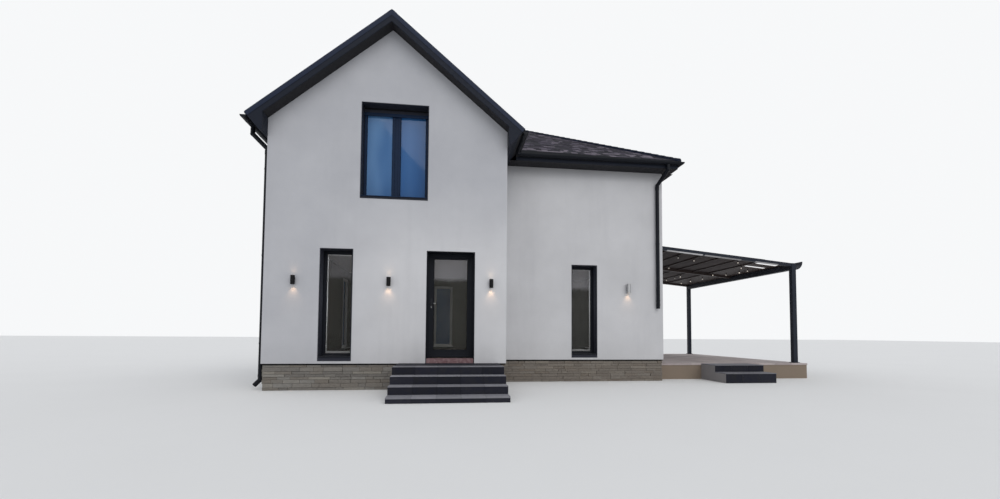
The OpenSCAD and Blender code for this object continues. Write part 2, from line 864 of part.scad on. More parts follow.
// Front door
module door_frame() {
    f = door_frame_w;
    s = f + door_stop;
    y2 = frame_y0 + frame_d;
    color([0.09, 0.10, 0.11]) difference() {
        box(door_left, front_y - lining_out, plinth_h, door_x1, y2, head_z);
        box(door_left + lining_t, front_y - past, plinth_h - past, door_x1 - lining_t, frame_y0,
            head_z - lining_t);
        box(door_left + s, front_y, floor_z + threshold_bar, door_x1 - s, frame_y0 + door_stop_d, head_z - s);
        box(door_left + f, frame_y0 + door_stop_d, floor_z + threshold_bar, door_x1 - f, y2 + 1, head_z - f);
        box(door_left + f, frame_y0 - 1, plinth_h - past, door_x1 - f, y2 + 1, floor_z);
    }
}

module door_threshold() {
    inner = front_y + wall_t;
    color([0.42, 0.27, 0.23])
        box(door_left + lining_t, front_y, plinth_h, door_x1 - lining_t, frame_y0, floor_z);
    color([0.42, 0.27, 0.23])
        box(door_left + door_frame_w, frame_y0, plinth_h, door_x1 - door_frame_w, inner, floor_z);
}

module front_door() {
    s = stile_w;
    color([0.10, 0.11, 0.12]) difference() {
        box(leaf_x0, leaf_y0, leaf_z0, leaf_x1, leaf_y1, leaf_z1);
        box(leaf_x0 + s, leaf_y0 - 1, leaf_z0 + bottom_rail, leaf_x1 - s, leaf_y1 + 1, leaf_z1 - top_rail);
    }
}

module front_door_glass() {
    s = stile_w + seat;
    y = leaf_y0 + (leaf_t - pane_t) / 2;
    color([0.28, 0.32, 0.33, 0.45])
        box(leaf_x0 + s, y, leaf_z0 + bottom_rail + seat, leaf_x1 - s, y + pane_t,
            leaf_z1 - top_rail - seat);
}

// One lever set on a face of the leaf; out is -1 outside and 1 inside
module lever_set(y, out) {
    x = leaf_x0 + stile_w / 2;
    z = floor_z + lever_z;
    translate([x, y, z]) rotate([out * -90, 0, 0]) {
        translate([-plate_w / 2, -plate_h / 2, 0]) cube([plate_w, plate_h, plate_t]);
        cylinder(r = lever_r + 1, h = lever_out);
        translate([0, 0, lever_out]) rotate([0, 90, 0]) cylinder(r = lever_r, h = lever_len);
        translate([0, 0, lever_out]) sphere(r = lever_r + 1);
    }
}

module front_door_handle() {
    color([0.62, 0.63, 0.65]) {
        lever_set(leaf_y0, -1);
        lever_set(leaf_y1, 1);
    }
}

// Hinges: the barrels above turn with the leaf, the pins below stay on the frame
module door_hinge_barrels() {
    color([0.30, 0.31, 0.33]) for (z = hinge_zs) {
        difference() {
            union() {
                translate([pivot_x, pivot_y, z + hinge_play])
                    cylinder(r = hinge_r, h = hinge_half - hinge_play);
                box(pivot_x - hinge_plate_w, leaf_y1, z + hinge_play, pivot_x, leaf_y1 + hinge_plate_t,
                    z + hinge_half);
            }
            translate([pivot_x, pivot_y, z]) cylinder(r = hinge_pin_r + hinge_fit, h = hinge_half + 1);
        }
    }
}

module door_hinge_pins() {
    y2 = frame_y0 + frame_d;
    web = hinge_plate_t + 1;
    color([0.45, 0.46, 0.48]) for (z = hinge_zs) {
        translate([pivot_x, pivot_y, z - hinge_half]) cylinder(r = hinge_r, h = hinge_half);
        translate([pivot_x, pivot_y, z - 1]) cylinder(r = hinge_pin_r, h = hinge_half - 2);
        box(pivot_x + web, y2, z - hinge_half, pivot_x + web + hinge_plate_w, y2 + hinge_plate_t, z);
        box(pivot_x + web, y2, z - hinge_half, pivot_x + 2 * web, pivot_y, z);
    }
}

// Lamps: a tube that is hollow at its ends, on a foot at the wall
module lamp(r, h, out, up_light) {
    foot = r * 0.6;
    difference() {
        translate([0, 0, -h / 2]) cylinder(r = r, h = h);
        translate([0, 0, -h / 2 - 1]) cylinder(r = r - lamp_t, h = lamp_hollow + 1);
        if (up_light) translate([0, 0, h / 2 - lamp_hollow]) cylinder(r = r - lamp_t, h = lamp_hollow + 1);
    }
    box(-foot, r / 2, -h / 4, foot, out, h / 4);
}

module wall_lamps() {
    color([0.08, 0.08, 0.09]) for (x = lamp_xs)
        translate([x, front_y - lamp_out, lamp_z]) lamp(lamp_r, lamp_h, lamp_out, true);
}

module side_lamp() {
    color([0.70, 0.71, 0.72])
        translate([wing_x1 - side_lamp_x, wing_y0 - side_lamp_out, lamp_z + side_lamp_rise])
            lamp(side_lamp_r, side_lamp_h, side_lamp_out, false);
}

// Entrance steps: four blocks, each resting on the one below
module step_block(front, z0, z1) {
    color([0.20, 0.20, 0.22])
        box(step_x - step_w / 2, front_y - front, z0, step_x + step_w / 2, plinth_y, z1);
}

module entry_step_1() {
    step_block(landing_d + 3 * tread_d, 0, first_riser);
}

module entry_step_2() {
    step_block(landing_d + 2 * tread_d, first_riser, first_riser + riser);
}

module entry_step_3() {
    step_block(landing_d + tread_d, first_riser + riser, first_riser + 2 * riser);
}

module entry_landing() {
    step_block(landing_d, first_riser + 2 * riser, plinth_h);
}

// Terrace and its steps
module terrace() {
    color([0.62, 0.61, 0.59])
        box(wing_x1 - plinth_inset, terrace_y0, 0, wing_x1 + terrace_w, rear_y, terrace_h);
}

module terrace_steps() {
    x0 = wing_x1 + terrace_step_x;
    x1 = x0 + terrace_step_w;
    y1 = terrace_y0 - terrace_tread_1;
    color([0.24, 0.24, 0.27]) {
        box(x0, y1, 0, x1, terrace_y0, terrace_h);
        box(x0, y1 - terrace_tread_2, 0, x1, y1, terrace_step_h);
    }
}

// Pergola
module dark_metal() {
    color([0.13, 0.15, 0.19]) children();
}

module pergola_posts() {
    dark_metal() for (y = [post_y0, post_y1])
        box(post_x - post_s / 2, y - post_s / 2, terrace_h, post_x + post_s / 2, y + post_s / 2,
            outer_beam_z);
}

// Outer beam with the curved lip of its built-in gutter
module pergola_outer_beam() {
    z = outer_beam_z;
    x0 = rail_x1;
    top = rail_top(x0);
    dark_metal() along_y(post_y0 - post_s / 2, post_y1 + post_s / 2) {
        translate([x0, z]) square([post_s, top - z]);
        intersection() {
            translate([x0 + post_s - lip_bite, z + lip_r + lip_t]) difference() {
                circle(r = lip_r + lip_t, $fn = 96);
                circle(r = lip_r, $fn = 96);
            }
            translate([x0 + post_s - lip_bite - 5, z]) square(lip_r + lip_t + 10);
        }
    }
}

module pergola_wall_beam() {
    top = rail_wall_z + wall_beam_up;
    dark_metal() box(wing_x1, post_y0 - post_s / 2, top - wall_beam_h, rail_x0, post_y1 + post_s / 2, top);
}

// A strip that follows the rails' fall, from depth d0 to d1 under their top
module falling_strip(x0, x1, d0, d1) {
    polygon([[x0, rail_top(x0) - d1], [x1, rail_top(x1) - d1], [x1, rail_top(x1) - d0],
        [x0, rail_top(x0) - d0]]);
}

module pergola_rails() {
    dark_metal() for (y = rail_ys)
        along_y(y - rail_w / 2, y + rail_w / 2) falling_strip(rail_x0, rail_x1, 0, rail_h);
}

module pergola_cross_bars() {
    gap = cover_reach / cross_bars;
    dark_metal() for (i = [1:cross_bars], k = [0, 1])
        along_y(rail_ys[k] + rail_w / 2, rail_ys[k + 1] - rail_w / 2)
            falling_strip(rail_x0 + i * gap - cross_bar_s, rail_x0 + i * gap, 0, cross_bar_s);
}

// Boards along the rails, from the last cross bar to the outer beam, with two open slots
module pergola_slats() {
    slot_a = rail_ys[0] + slot_first;
    slot_b = slot_a + slot_step;
    side = rail_w / 2 + slat_gap;
    fields = [[rail_ys[0] + side, slot_a - slot_w / 2], [slot_a + slot_w / 2, slot_b - slot_w / 2],
        [slot_b + slot_w / 2, rail_ys[1] - side], [rail_ys[1] + side, rail_ys[2] - side]];
    dark_metal() for (f = fields) along_y(f[0], f[1])
        falling_strip(rail_x0 + cover_reach, rail_x1, 0, slat_h);
}

module pergola_cover() {
    color([0.24, 0.19, 0.17])
        along_y(post_y0 - rail_w / 2, post_y1 + rail_w / 2)
            falling_strip(rail_x0, rail_x0 + cover_reach, -cover_t - seat, -seat);
}

plinth();
ground_floor();
upper_floor();
front_wall_left();
front_wall_right();
front_gable_wall();
left_wall();
rear_gable_wall();
return_wall();
wing_front_wall();
wing_end_wall();
wing_rear_wall();
gable_roof_left();
gable_roof_right();
verge_boards();
eave_boxes();
wing_roof_front();
wing_roof_end();
wing_roof_rear();
wing_eaves();
roof_caps();
gutters();
downpipes();
window_linings();
window_frames();
window_glass();
window_sills();
door_frame();
door_threshold();
front_door();
front_door_glass();
front_door_handle();
door_hinge_barrels();
door_hinge_pins();
wall_lamps();
side_lamp();
entry_step_1();
entry_step_2();
entry_step_3();
entry_landing();
terrace();
terrace_steps();
pergola_posts();
pergola_outer_beam();
pergola_wall_beam();
pergola_rails();
pergola_cross_bars();
pergola_slats();
pergola_cover();
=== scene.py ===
"""Looks of the detached house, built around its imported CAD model.

Metres, in the CAD frame: X along the front to the right, Y to the back, Z up,
with the origin at ground level under the middle of the front gable.
"""
import math
import random

import bpy
from mathutils import Matrix, Vector


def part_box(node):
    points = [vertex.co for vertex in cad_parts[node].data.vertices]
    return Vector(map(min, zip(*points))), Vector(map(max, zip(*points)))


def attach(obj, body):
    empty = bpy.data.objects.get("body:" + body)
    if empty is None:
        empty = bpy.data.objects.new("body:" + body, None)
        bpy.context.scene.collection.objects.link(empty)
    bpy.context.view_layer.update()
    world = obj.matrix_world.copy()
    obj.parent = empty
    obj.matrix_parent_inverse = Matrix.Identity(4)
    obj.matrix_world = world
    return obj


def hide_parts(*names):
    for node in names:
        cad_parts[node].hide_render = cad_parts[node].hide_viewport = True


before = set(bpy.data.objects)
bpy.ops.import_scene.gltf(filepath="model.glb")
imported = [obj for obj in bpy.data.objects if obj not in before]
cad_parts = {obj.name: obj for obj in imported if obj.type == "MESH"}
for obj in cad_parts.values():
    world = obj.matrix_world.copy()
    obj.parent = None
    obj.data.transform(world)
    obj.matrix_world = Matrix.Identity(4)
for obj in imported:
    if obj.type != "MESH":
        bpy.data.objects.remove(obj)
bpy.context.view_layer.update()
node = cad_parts
rng = random.Random(7)

HOUSE = "house"
DOOR = "door"


def low(name):
    """Lower corner of a CAD node's box."""
    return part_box(name)[0]


def high(name):
    """Upper corner of a CAD node's box."""
    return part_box(name)[1]


# Main places, read from the CAD nodes
LEFT = low("left_wall").x
RIGHT = high("return_wall").x
FRONT = low("front_wall_left").y
REAR = high("rear_gable_wall").y
WING_X = high("wing_end_wall").x
WING_Y = low("wing_front_wall").y
PLINTH_H = high("plinth").z
FLOOR_Z = high("ground_floor").z
WALL_T = 0.40

# Gable roof
GABLE_PITCH = math.radians(40)
EAVE_X = high("gable_roof_right").x
RIDGE_Z = high("gable_roof_right").z
VERGE_Y0 = low("verge_boards").y
VERGE_Y1 = high("verge_boards").y
G_TAN = math.tan(GABLE_PITCH)
G_COS = math.cos(GABLE_PITCH)
G_SIN = math.sin(GABLE_PITCH)
EAVE_Z = RIDGE_Z - EAVE_X * G_TAN

# Wing roof
WING_PITCH = math.radians(31)
W_TAN = math.tan(WING_PITCH)
W_COS = math.cos(WING_PITCH)
W_SIN = math.sin(WING_PITCH)
WING_EDGE_X0 = EAVE_X + 0.03
WING_EDGE_X = high("wing_roof_end").x
WING_EDGE_Y0 = low("wing_roof_end").y
WING_EDGE_Y1 = high("wing_roof_end").y
WING_MID_Y = (WING_EDGE_Y0 + WING_EDGE_Y1) / 2
WING_HALF = WING_MID_Y - WING_EDGE_Y0
WING_RIDGE_Z = high("wing_roof_end").z
WING_EAVE_Z = WING_RIDGE_Z - WING_HALF * W_TAN
HIP_X = WING_EDGE_X - WING_HALF

# Windows and door
NARROW_W = 0.65
NARROW_Z0 = 0.579
NARROW_LOW = 0.14
HEAD_Z = 2.855
WIDE_W = 1.376
WIDE_X = 0.077
WIDE_Z0 = 3.908
WIDE_Z1 = 5.931
WIDE_LOW = 0.105
MULLION_W = 0.165
REVEAL = 0.28
FRAME_W = 0.07
FRAME_D = 0.07
PANE_Y = 0.303
# A height between the two rows of windows
UPPER_Z = 3.3

# The rolled-up shutter's end rail in the two-sash windows
SHUTTER_LIP_Z = 5.757
SHUTTER_RAIL_Z = 5.824
SHUTTER_SLAT_Z = 5.887
SHUTTER_Y = 0.235

# Sashes, inner sills and the boards inside the narrow windows
SASH_W = 0.048
BEAD_W = 0.018
SEAL_W = 0.006
HANDLE_OUT = 0.032
SILL_Z = NARROW_Z0 + 0.09
SILL_T = 0.03
SILL_LAP = 0.04
SILL_OUT = 0.14
CASING_LAP = 0.008

# Wall lamps, rainwater goods and pergola
LAMP_XS = (-1.854, 0.003, 2.101)
LAMP_OUT = 0.07
GUTTER_R = 0.062
GUTTER_LEAF = 0.07
WING_RIM_Z = high("gutters").z - GUTTER_LEAF
GABLE_RIM_Z = WING_RIM_Z - 0.015
PIPE_R = 0.045
PIPE_OUT = 0.065
LEFT_PIPE_Y = FRONT + 0.19
WING_PIPE_X = WING_X - 0.155
WING_PIPE_END = 1.8
NECK_DROP = 0.477
BRACKET_STEP = 0.7
BRACKET_W = 0.025
CLAMP_W = 0.03
PIPE_COLLAR_R = PIPE_R + 0.004
LEFT_CLAMPS = [part * GABLE_RIM_Z + 0.015 for part in (0.17, 0.5, 0.83)]
WING_PIPE_RUN = WING_RIM_Z - WING_PIPE_END
WING_CLAMPS = [WING_PIPE_END + part * WING_PIPE_RUN + 0.015 for part in (0.05, 0.45, 0.85)]
RAIL_WALL_Z = 3.538
RAIL_FALL = 0.094
RAIL_H = 0.09
SLOT_YS = (2.295, 2.815)
SLOT_W = 0.33
SLOT_TRIM = 0.06
DRIP = 0.05


def srgb(r, g, b):
    """A linear colour from 0..255 display values."""
    def one(c):
        c = c / 255
        return c / 12.92 if c <= 0.04045 else ((c + 0.055) / 1.055) ** 2.4
    return (one(r), one(g), one(b), 1.0)


# Materials
class Look:
    """One procedural material and short calls that add nodes to it.

    A colour of three numbers is in display values from 0 to 255.
    """

    def __init__(self, name, rough=0.6, metal=0.0, ior=1.5, gloss=0.5):
        self.mat = bpy.data.materials.new(name)
        self.mat.use_nodes = True
        self.tree = self.mat.node_tree
        self.shader = self.tree.nodes["Principled BSDF"]
        self.shader.inputs["Metallic"].default_value = metal
        self.shader.inputs["Roughness"].default_value = rough
        self.shader.inputs["IOR"].default_value = ior
        self.shader.inputs["Specular IOR Level"].default_value = gloss
        self.place = self.tree.nodes.new("ShaderNodeTexCoord").outputs["Object"]

    def add(self, kind, inputs=None, **settings):
        made = self.tree.nodes.new(kind)
        for key, value in settings.items():
            setattr(made, key, value)
        for key, value in (inputs or {}).items():
            self.put(made.inputs[key], value)
        return made

    def put(self, socket, value):
        if isinstance(value, bpy.types.NodeSocket):
            self.tree.links.new(value, socket)
        elif socket.type == "RGBA" and len(value) == 3:
            socket.default_value = srgb(*value)
        else:
            socket.default_value = value

    def stretched(self, sx, sy, sz):
        return self.add("ShaderNodeMapping", {"Vector": self.place, "Scale": (sx, sy, sz)}).outputs[0]

    def noise(self, scale, detail=3.0, rough=0.55, place=None):
        made = self.add("ShaderNodeTexNoise", {"Vector": place or self.place, "Scale": scale,
                                               "Detail": detail, "Roughness": rough})
        return made.outputs["Fac"]

    def ramp(self, fac, stops):
        made = self.add("ShaderNodeValToRGB", {"Fac": fac})
        line = made.color_ramp
        for i, (at, colour) in enumerate(stops):
            stop = line.elements[i] if i < 2 else line.elements.new(at)
            stop.position = at
            stop.color = srgb(*colour)
        return made.outputs["Color"]

    def grey(self, fac, a, b, start=0.3, end=0.7):
        made = self.add("ShaderNodeMapRange", {"Value": fac, "From Min": start, "From Max": end,
                                               "To Min": a, "To Max": b})
        return made.outputs["Result"]

    def mix(self, fac, a, b):
        made = self.add("ShaderNodeMix", {"Factor": fac, "A": a, "B": b}, data_type="RGBA")
        return made.outputs["Result"]

    def blend(self, fac, share, a, b, start=0.3, end=0.7):
        """Lays up to a share of b over a, as fac goes from start to end."""
        return self.mix(self.grey(fac, 0.0, share, start, end), a, b)

    def maths(self, how, a, b):
        return self.add("ShaderNodeMath", {0: a, 1: b}, operation=how).outputs[0]

    def times(self, a, b):
        return self.maths("MULTIPLY", a, b)

    def tone(self):
        return self.add("ShaderNodeAttribute", attribute_name="tone").outputs["Fac"]

    def axis(self, letter, source=None):
        return self.add("ShaderNodeSeparateXYZ", {"Vector": source or self.place}).outputs[letter]

    def within(self, value, start, end):
        return self.times(self.maths("GREATER_THAN", value, start), self.maths("LESS_THAN", value, end))

    def done(self, colour, rough=None, bump=None):
        """Ends a look: rough is a pattern, low and high; bump is a height, strength and distance."""
        self.put(self.shader.inputs["Base Color"], colour)
        if rough:
            self.put(self.shader.inputs["Roughness"], self.grey(*rough))
        if bump:
            made = self.add("ShaderNodeBump", dict(zip(("Height", "Strength", "Distance"), bump)))
            self.put(self.shader.inputs["Normal"], made.outputs["Normal"])
        return self.mat


def indoors(k):
    """1 on what faces the rooms and 0 on the outside of the walls."""
    x, y = k.axis("X"), k.axis("Y")
    edge = WALL_T - 0.04
    main = k.times(k.within(x, LEFT + edge, RIGHT - edge), k.within(y, FRONT + edge, REAR - edge))
    wing = k.times(k.within(x, RIGHT - WALL_T - 0.1, WING_X - edge), k.within(y, WING_Y + edge, REAR - edge))
    return k.maths("MAXIMUM", main, wing)


def plaster_look():
    """Fine trowelled render outside, with painted light low down, towards the right and on the wing, and
    painted shade under the wing's eaves; plain warm paint inside.
    """
    k = Look("plaster", rough=0.9, gloss=0.2)
    blotch = k.noise(0.9, 4.0, 0.6)
    grain = k.noise(90.0, 2.0)
    z, x = k.axis("Z"), k.axis("X")
    colour = k.blend(blotch, 1.0, (171, 172, 177), (181, 182, 186))
    # pale and warm are painted light: the front block is lighter low down and towards the right, and the
    # wing is lighter throughout.
    pale = k.blend(blotch, 1.0, (197, 197, 199), (207, 207, 209))
    warm = k.blend(blotch, 1.0, (190, 190, 192), (200, 200, 202))
    on_wing = k.grey(x, 0.0, 1.0, RIGHT - 0.03, RIGHT + 0.05)
    lit = k.times(k.grey(z, 1.0, 0.0, 2.4, 4.4), k.grey(x, 0.1, 1.0, -1.5, 0.2))
    colour = k.mix(on_wing, k.mix(lit, colour, pale), warm)
    # Painted shade under the wing's eaves, darkest just below the soffit.
    painted_eave_shade = k.times(on_wing, k.grey(z, 0.0, 0.72, WING_EAVE_Z - 0.5, WING_EAVE_Z - 0.1))
    colour = k.mix(painted_eave_shade, colour, (108, 106, 108))
    streak = k.noise(2.2, 4.0, 0.6, k.stretched(1.0, 1.0, 0.12))
    colour = k.blend(streak, 0.22, colour, (160, 160, 164), 0.5, 0.8)
    colour = k.blend(grain, 0.12, colour, (150, 150, 154), 0.45, 0.75)
    splash = k.grey(z, 0.2, 0.0, PLINTH_H, PLINTH_H + 0.5)
    colour = k.mix(k.times(splash, k.noise(3.0, 5.0, 0.7)), colour, (140, 137, 132))
    paint = k.mix(k.noise(1.2), (92, 87, 80), (105, 99, 91))
    trowel = k.maths("ADD", k.times(k.noise(5.0, 4.0, 0.6), 1.5), grain)
    return k.done(k.mix(indoors(k), colour, paint), (grain, 0.82, 0.96), (trowel, 0.35, 0.0025))


def inner_paint_look():
    """White paint; pieces of a low tone are greyer, a painted shade."""
    k = Look("inner_paint", rough=0.8)
    white = k.mix(k.noise(1.5), (236, 236, 236), (243, 243, 243))
    colour = k.mix(k.grey(k.tone(), 0.45, 0.0, 0.0, 0.5), white, (150, 153, 160))
    return k.done(colour, (k.noise(12.0), 0.7, 0.88), (k.noise(60.0), 0.15, 0.001))


def stone_look():
    """Split stone strips, greyer on the front block and browner towards the wing."""
    k = Look("plinth_stone", rough=0.85, gloss=0.3)
    tone = k.ramp(k.tone(), [(0.0, (96, 93, 90)), (1.0, (136, 131, 122)), (0.3, (117, 114, 110)),
                             (0.55, (108, 101, 93)), (0.78, (127, 125, 121))])
    tone = k.blend(k.axis("X"), 0.45, tone, (112, 98, 84), RIGHT - 0.5, RIGHT + 0.5)
    grain = k.noise(40.0, 5.0, 0.65)
    layer = k.noise(14.0, 4.0, 0.6, k.stretched(1.0, 1.0, 5.0))
    colour = k.blend(grain, 0.3, k.blend(layer, 0.45, tone, (76, 72, 68)), (146, 141, 132))
    return k.done(colour, (grain, 0.75, 0.95), (k.maths("ADD", grain, layer), 0.8, 0.006))


def mortar_look():
    """Dark mortar behind the plinth's stones."""
    k = Look("plinth_mortar", rough=0.95)
    return k.done(k.mix(k.noise(30.0, 4.0), (66, 63, 59), (84, 80, 74)), None, (k.noise(120.0), 0.4, 0.002))


def shingle_look():
    """Gritty shingles from near black to pale violet, after each shingle's tone."""
    k = Look("roof_shingle", rough=0.9, gloss=0.25)
    tone = k.ramp(k.tone(), [(0.0, (12, 13, 22)), (1.0, (118, 111, 122)), (0.3, (26, 26, 38)),
                             (0.6, (50, 45, 58)), (0.85, (78, 72, 86))])
    grit = k.noise(420.0, 2.0, 0.7)
    colour = k.blend(grit, 0.25, tone, (92, 88, 98))
    colour = k.blend(k.noise(2.2, 4.0, 0.6), 0.3, colour, (30, 29, 37))
    return k.done(colour, (grit, 0.78, 0.98), (grit, 0.5, 0.0015))


def painted_look(name, dark, pale, rough=0.5, dusty=0.25, change=None):
    """Powder-coated sheet or profile: fine orange peel and a little dust on what faces up.

    Where change is given, it names an axis along which the coat turns into two other colours.
    """
    k = Look(name, rough=rough, ior=1.45, gloss=0.16)
    worn = k.times(k.noise(8.0, 5.0, 0.65), 0.6)
    colour = k.mix(worn, dark, pale)
    if change:
        letter, start, end, other_dark, other_pale = change
        colour = k.blend(k.axis(letter), 1.0, colour, k.mix(worn, other_dark, other_pale), start, end)
    facing_up = k.axis("Z", k.add("ShaderNodeNewGeometry").outputs["Normal"])
    dust = k.times(k.grey(facing_up, 0.0, dusty, 0.3, 1.0), k.noise(3.0, 4.0))
    return k.done(k.mix(dust, colour, (110, 110, 112)), (k.noise(25.0, 3.0), rough - 0.08, rough + 0.12),
                  (k.noise(260.0, 2.0), 0.08, 0.0006))


def glass_look(name, clear_alpha):
    """Glazing: the front's ground floor is clear, with a dark painted reflection below and a pale one above;
    all other panes are filled with the sky's blue as a painted reflection.
    """
    k = Look(name, rough=0.03, ior=1.52, gloss=0.3)
    x, z = k.axis("X"), k.axis("Z")
    clear = k.times(k.maths("LESS_THAN", z, UPPER_Z), k.maths("LESS_THAN", k.axis("Y"), WING_Y + 0.5))
    film_and_reflection = k.noise(1.3, 3.0)
    streak = k.noise(1.1, 2.0, 0.5, k.stretched(1.6, 1.0, 0.35))
    # The sky's blue with lighter streaks, darker on the right-hand sash, is a painted reflection.
    sky = k.blend(streak, 1.0, (50, 96, 147), (90, 132, 178), 0.35, 0.7)
    sky = k.blend(x, 0.6, sky, (12, 76, 136), 0.02, 0.12)
    garden_reflection = k.noise(9.0, 5.0, 0.65, k.stretched(1.0, 1.0, 0.7))
    # The lower panes carry a dark painted reflection, which turns pale above a wavy line.
    dark = k.blend(garden_reflection, 1.0, (40, 42, 38), (74, 74, 68), 0.35, 0.65)
    cloud_reflection = k.mix(film_and_reflection, (147, 146, 150), (174, 173, 176))
    edge = k.maths("ADD", z, k.times(garden_reflection, 0.15))
    mirrored = k.blend(edge, 1.0, dark, cloud_reflection, 2.32, 2.42)
    # Painted reflection and shade: lighter on the wing's window and darker on the left window.
    mirrored = k.blend(x, 0.08, mirrored, (170, 170, 172), 3.0, 4.0)
    mirrored = k.mix(k.grey(x, 0.5, 0.0, -1.0, 1.0), mirrored, (34, 36, 36))
    k.put(k.shader.inputs["Alpha"], k.grey(clear, 0.94, clear_alpha, 0.0, 1.0))
    return k.done(k.mix(clear, sky, mirrored), (film_and_reflection, 0.02, 0.06), (k.noise(0.8, 2.0), 0.02, 0.002))


def brushed_look(name, dark, pale, rough, smooth, coarse):
    """Metal brushed along its height, whose roughness lies between smooth and coarse."""
    k = Look(name, rough=rough, metal=1.0)
    fine = k.noise(60.0, 3.0, 0.6, k.stretched(1.0, 1.0, 14.0))
    return k.done(k.mix(fine, dark, pale), (fine, smooth, coarse), (fine, 0.06, 0.0004))


def threshold_look():
    """Reddish-brown tiles, mottled and worn pink where they are trodden."""
    k = Look("threshold", rough=0.75, gloss=0.3)
    brick = k.add("ShaderNodeTexBrick", {"Vector": k.place, "Scale": 1.0, "Mortar Size": 0.004,
                                         "Brick Width": 0.24, "Row Height": 0.07, "Color1": (116, 86, 88),
                                         "Color2": (138, 110, 112), "Mortar": (84, 70, 72)})
    grain = k.noise(45.0, 4.0, 0.7)
    colour = k.blend(grain, 0.6, brick.outputs["Color"], (84, 64, 68))
    colour = k.blend(k.noise(14.0, 3.0, 0.7), 0.5, colour, (154, 132, 135), 0.45, 0.65)
    return k.done(colour, (grain, 0.65, 0.85), (grain, 0.4, 0.002))


def riser_look():
    """Charcoal stone with a faint blue mottle."""
    k = Look("step_riser", rough=0.75, gloss=0.25)
    tone = k.ramp(k.tone(), [(0.0, (15, 16, 21)), (1.0, (34, 34, 41))])
    speck = k.noise(110.0, 3.0, 0.7)
    cloud = k.noise(7.0, 5.0, 0.7)
    colour = k.blend(speck, 0.2, k.blend(cloud, 0.5, tone, (26, 29, 48)), (68, 69, 76), 0.5, 0.85)
    return k.done(colour, (cloud, 0.65, 0.88), (k.maths("ADD", speck, cloud), 0.4, 0.002))


def tread_look():
    """The same stone, paler on the treads: partly wear and partly painted light on the faces that look up.
    """
    k = Look("step_tread", rough=0.8, gloss=0.25)
    tone = k.ramp(k.tone(), [(0.0, (60, 61, 67)), (1.0, (158, 157, 163))])
    speck = k.noise(120.0, 3.0, 0.7)
    cloud = k.noise(6.0, 5.0, 0.7)
    colour = k.blend(speck, 0.3, k.blend(cloud, 0.45, tone, (104, 104, 111)), (60, 61, 68))
    return k.done(colour, (cloud, 0.7, 0.9), (k.maths("ADD", speck, cloud), 0.3, 0.0015))


def terrace_look(name, dull, bright, stain):
    """Concrete between two colours, after each slab's tone, with stained patches."""
    k = Look(name, rough=0.85, gloss=0.3)
    tone = k.ramp(k.tone(), [(0.0, dull), (1.0, bright)])
    speck = k.noise(130.0, 3.0, 0.7)
    colour = k.blend(k.noise(2.4, 5.0, 0.65), 0.3, k.blend(speck, 0.3, tone, stain), stain)
    return k.done(colour, (speck, 0.75, 0.95), (speck, 0.3, 0.0015))


def wood_floor_look():
    """Floor boards of two browns with a grain along their length."""
    k = Look("floor_boards", rough=0.5)
    board = k.add("ShaderNodeTexBrick", {"Vector": k.place, "Scale": 1.0, "Mortar Size": 0.002,
                                         "Brick Width": 1.2, "Row Height": 0.16, "Color1": (146, 118, 88),
                                         "Color2": (128, 100, 74), "Mortar": (60, 46, 34)})
    grain = k.noise(9.0, 5.0, 0.6, k.stretched(1.0, 12.0, 1.0))
    colour = k.blend(grain, 0.5, board.outputs["Color"], (96, 72, 50))
    return k.done(colour, (grain, 0.42, 0.6), (grain, 0.15, 0.001))


def cloth_look():
    """Coated awning cloth: a fine square weave with faint long folds, whose painted shade lies in the
    colour.
    """
    k = Look("cover_cloth", rough=0.85)
    warp, weft = (k.add("ShaderNodeTexWave", {"Vector": k.place, "Scale": 160.0, "Distortion": 0.4},
                        bands_direction=letter).outputs["Fac"] for letter in "XY")
    weave = k.times(warp, weft)
    shade = k.noise(2.0, 4.0, 0.6, k.stretched(1.0, 4.0, 1.0))
    colour = k.blend(shade, 1.0, (48, 40, 39), (62, 52, 51))
    return k.done(colour, (weave, 0.75, 0.95), (k.maths("ADD", weave, shade), 0.3, 0.001))


def glow_look(name, dim, bright, strength, glass=(150, 145, 138)):
    """Frosted lamp glass that glows between two colours, from the tone of each piece."""
    k = Look(name, rough=0.4)
    k.put(k.shader.inputs["Emission Color"], k.mix(k.tone(), (*dim, 1.0), (*bright, 1.0)))
    k.put(k.shader.inputs["Emission Strength"], strength)
    return k.done(k.mix(k.noise(20.0), glass, [0.85 * c for c in glass]), (k.noise(30.0), 0.3, 0.5))


PLASTER = plaster_look()
INNER_PAINT = inner_paint_look()
STONE = stone_look()
MORTAR = mortar_look()
SHINGLE = shingle_look()
TRIM = painted_look("trim_metal", (20, 25, 36), (30, 35, 47))
TRIM_PALE = painted_look("trim_flashing", (28, 36, 54), (40, 48, 68), 0.42)
SOFFIT = painted_look("soffit_metal", (36, 36, 39), (48, 48, 51), 0.6)
RIDGE = painted_look("ridge_shingle", (24, 30, 46), (40, 46, 62), 0.8)
GUTTER = painted_look("gutter_metal", (16, 19, 25), (26, 29, 36), 0.42)
# The profiles turn bluer on the upper floor: a painted reflection of the sky.
FRAME_METAL = painted_look("frame_metal", (17, 20, 27), (31, 34, 42), 0.45, 0.25,
                           ("Z", UPPER_Z - 0.2, UPPER_Z + 0.1, (11, 28, 52), (22, 43, 70)))
# A lighter copy of the frames' coat for the reveals' linings, which lie in shade: painted light; the
# shutters' rails share it.
LINING = painted_look("lining_metal", (38, 40, 48), (50, 52, 62), 0.45)
GASKET = painted_look("gasket", (14, 14, 15), (22, 22, 23), 0.6)
PERGOLA_METAL = painted_look("pergola_metal", (30, 34, 43), (42, 47, 58), 0.45)
# The bars, boards and slot trims under the cover carry the same brown: painted shade of the cover.
PERGOLA_BROWN = painted_look("pergola_bars", (60, 51, 49), (76, 66, 63), 0.5)
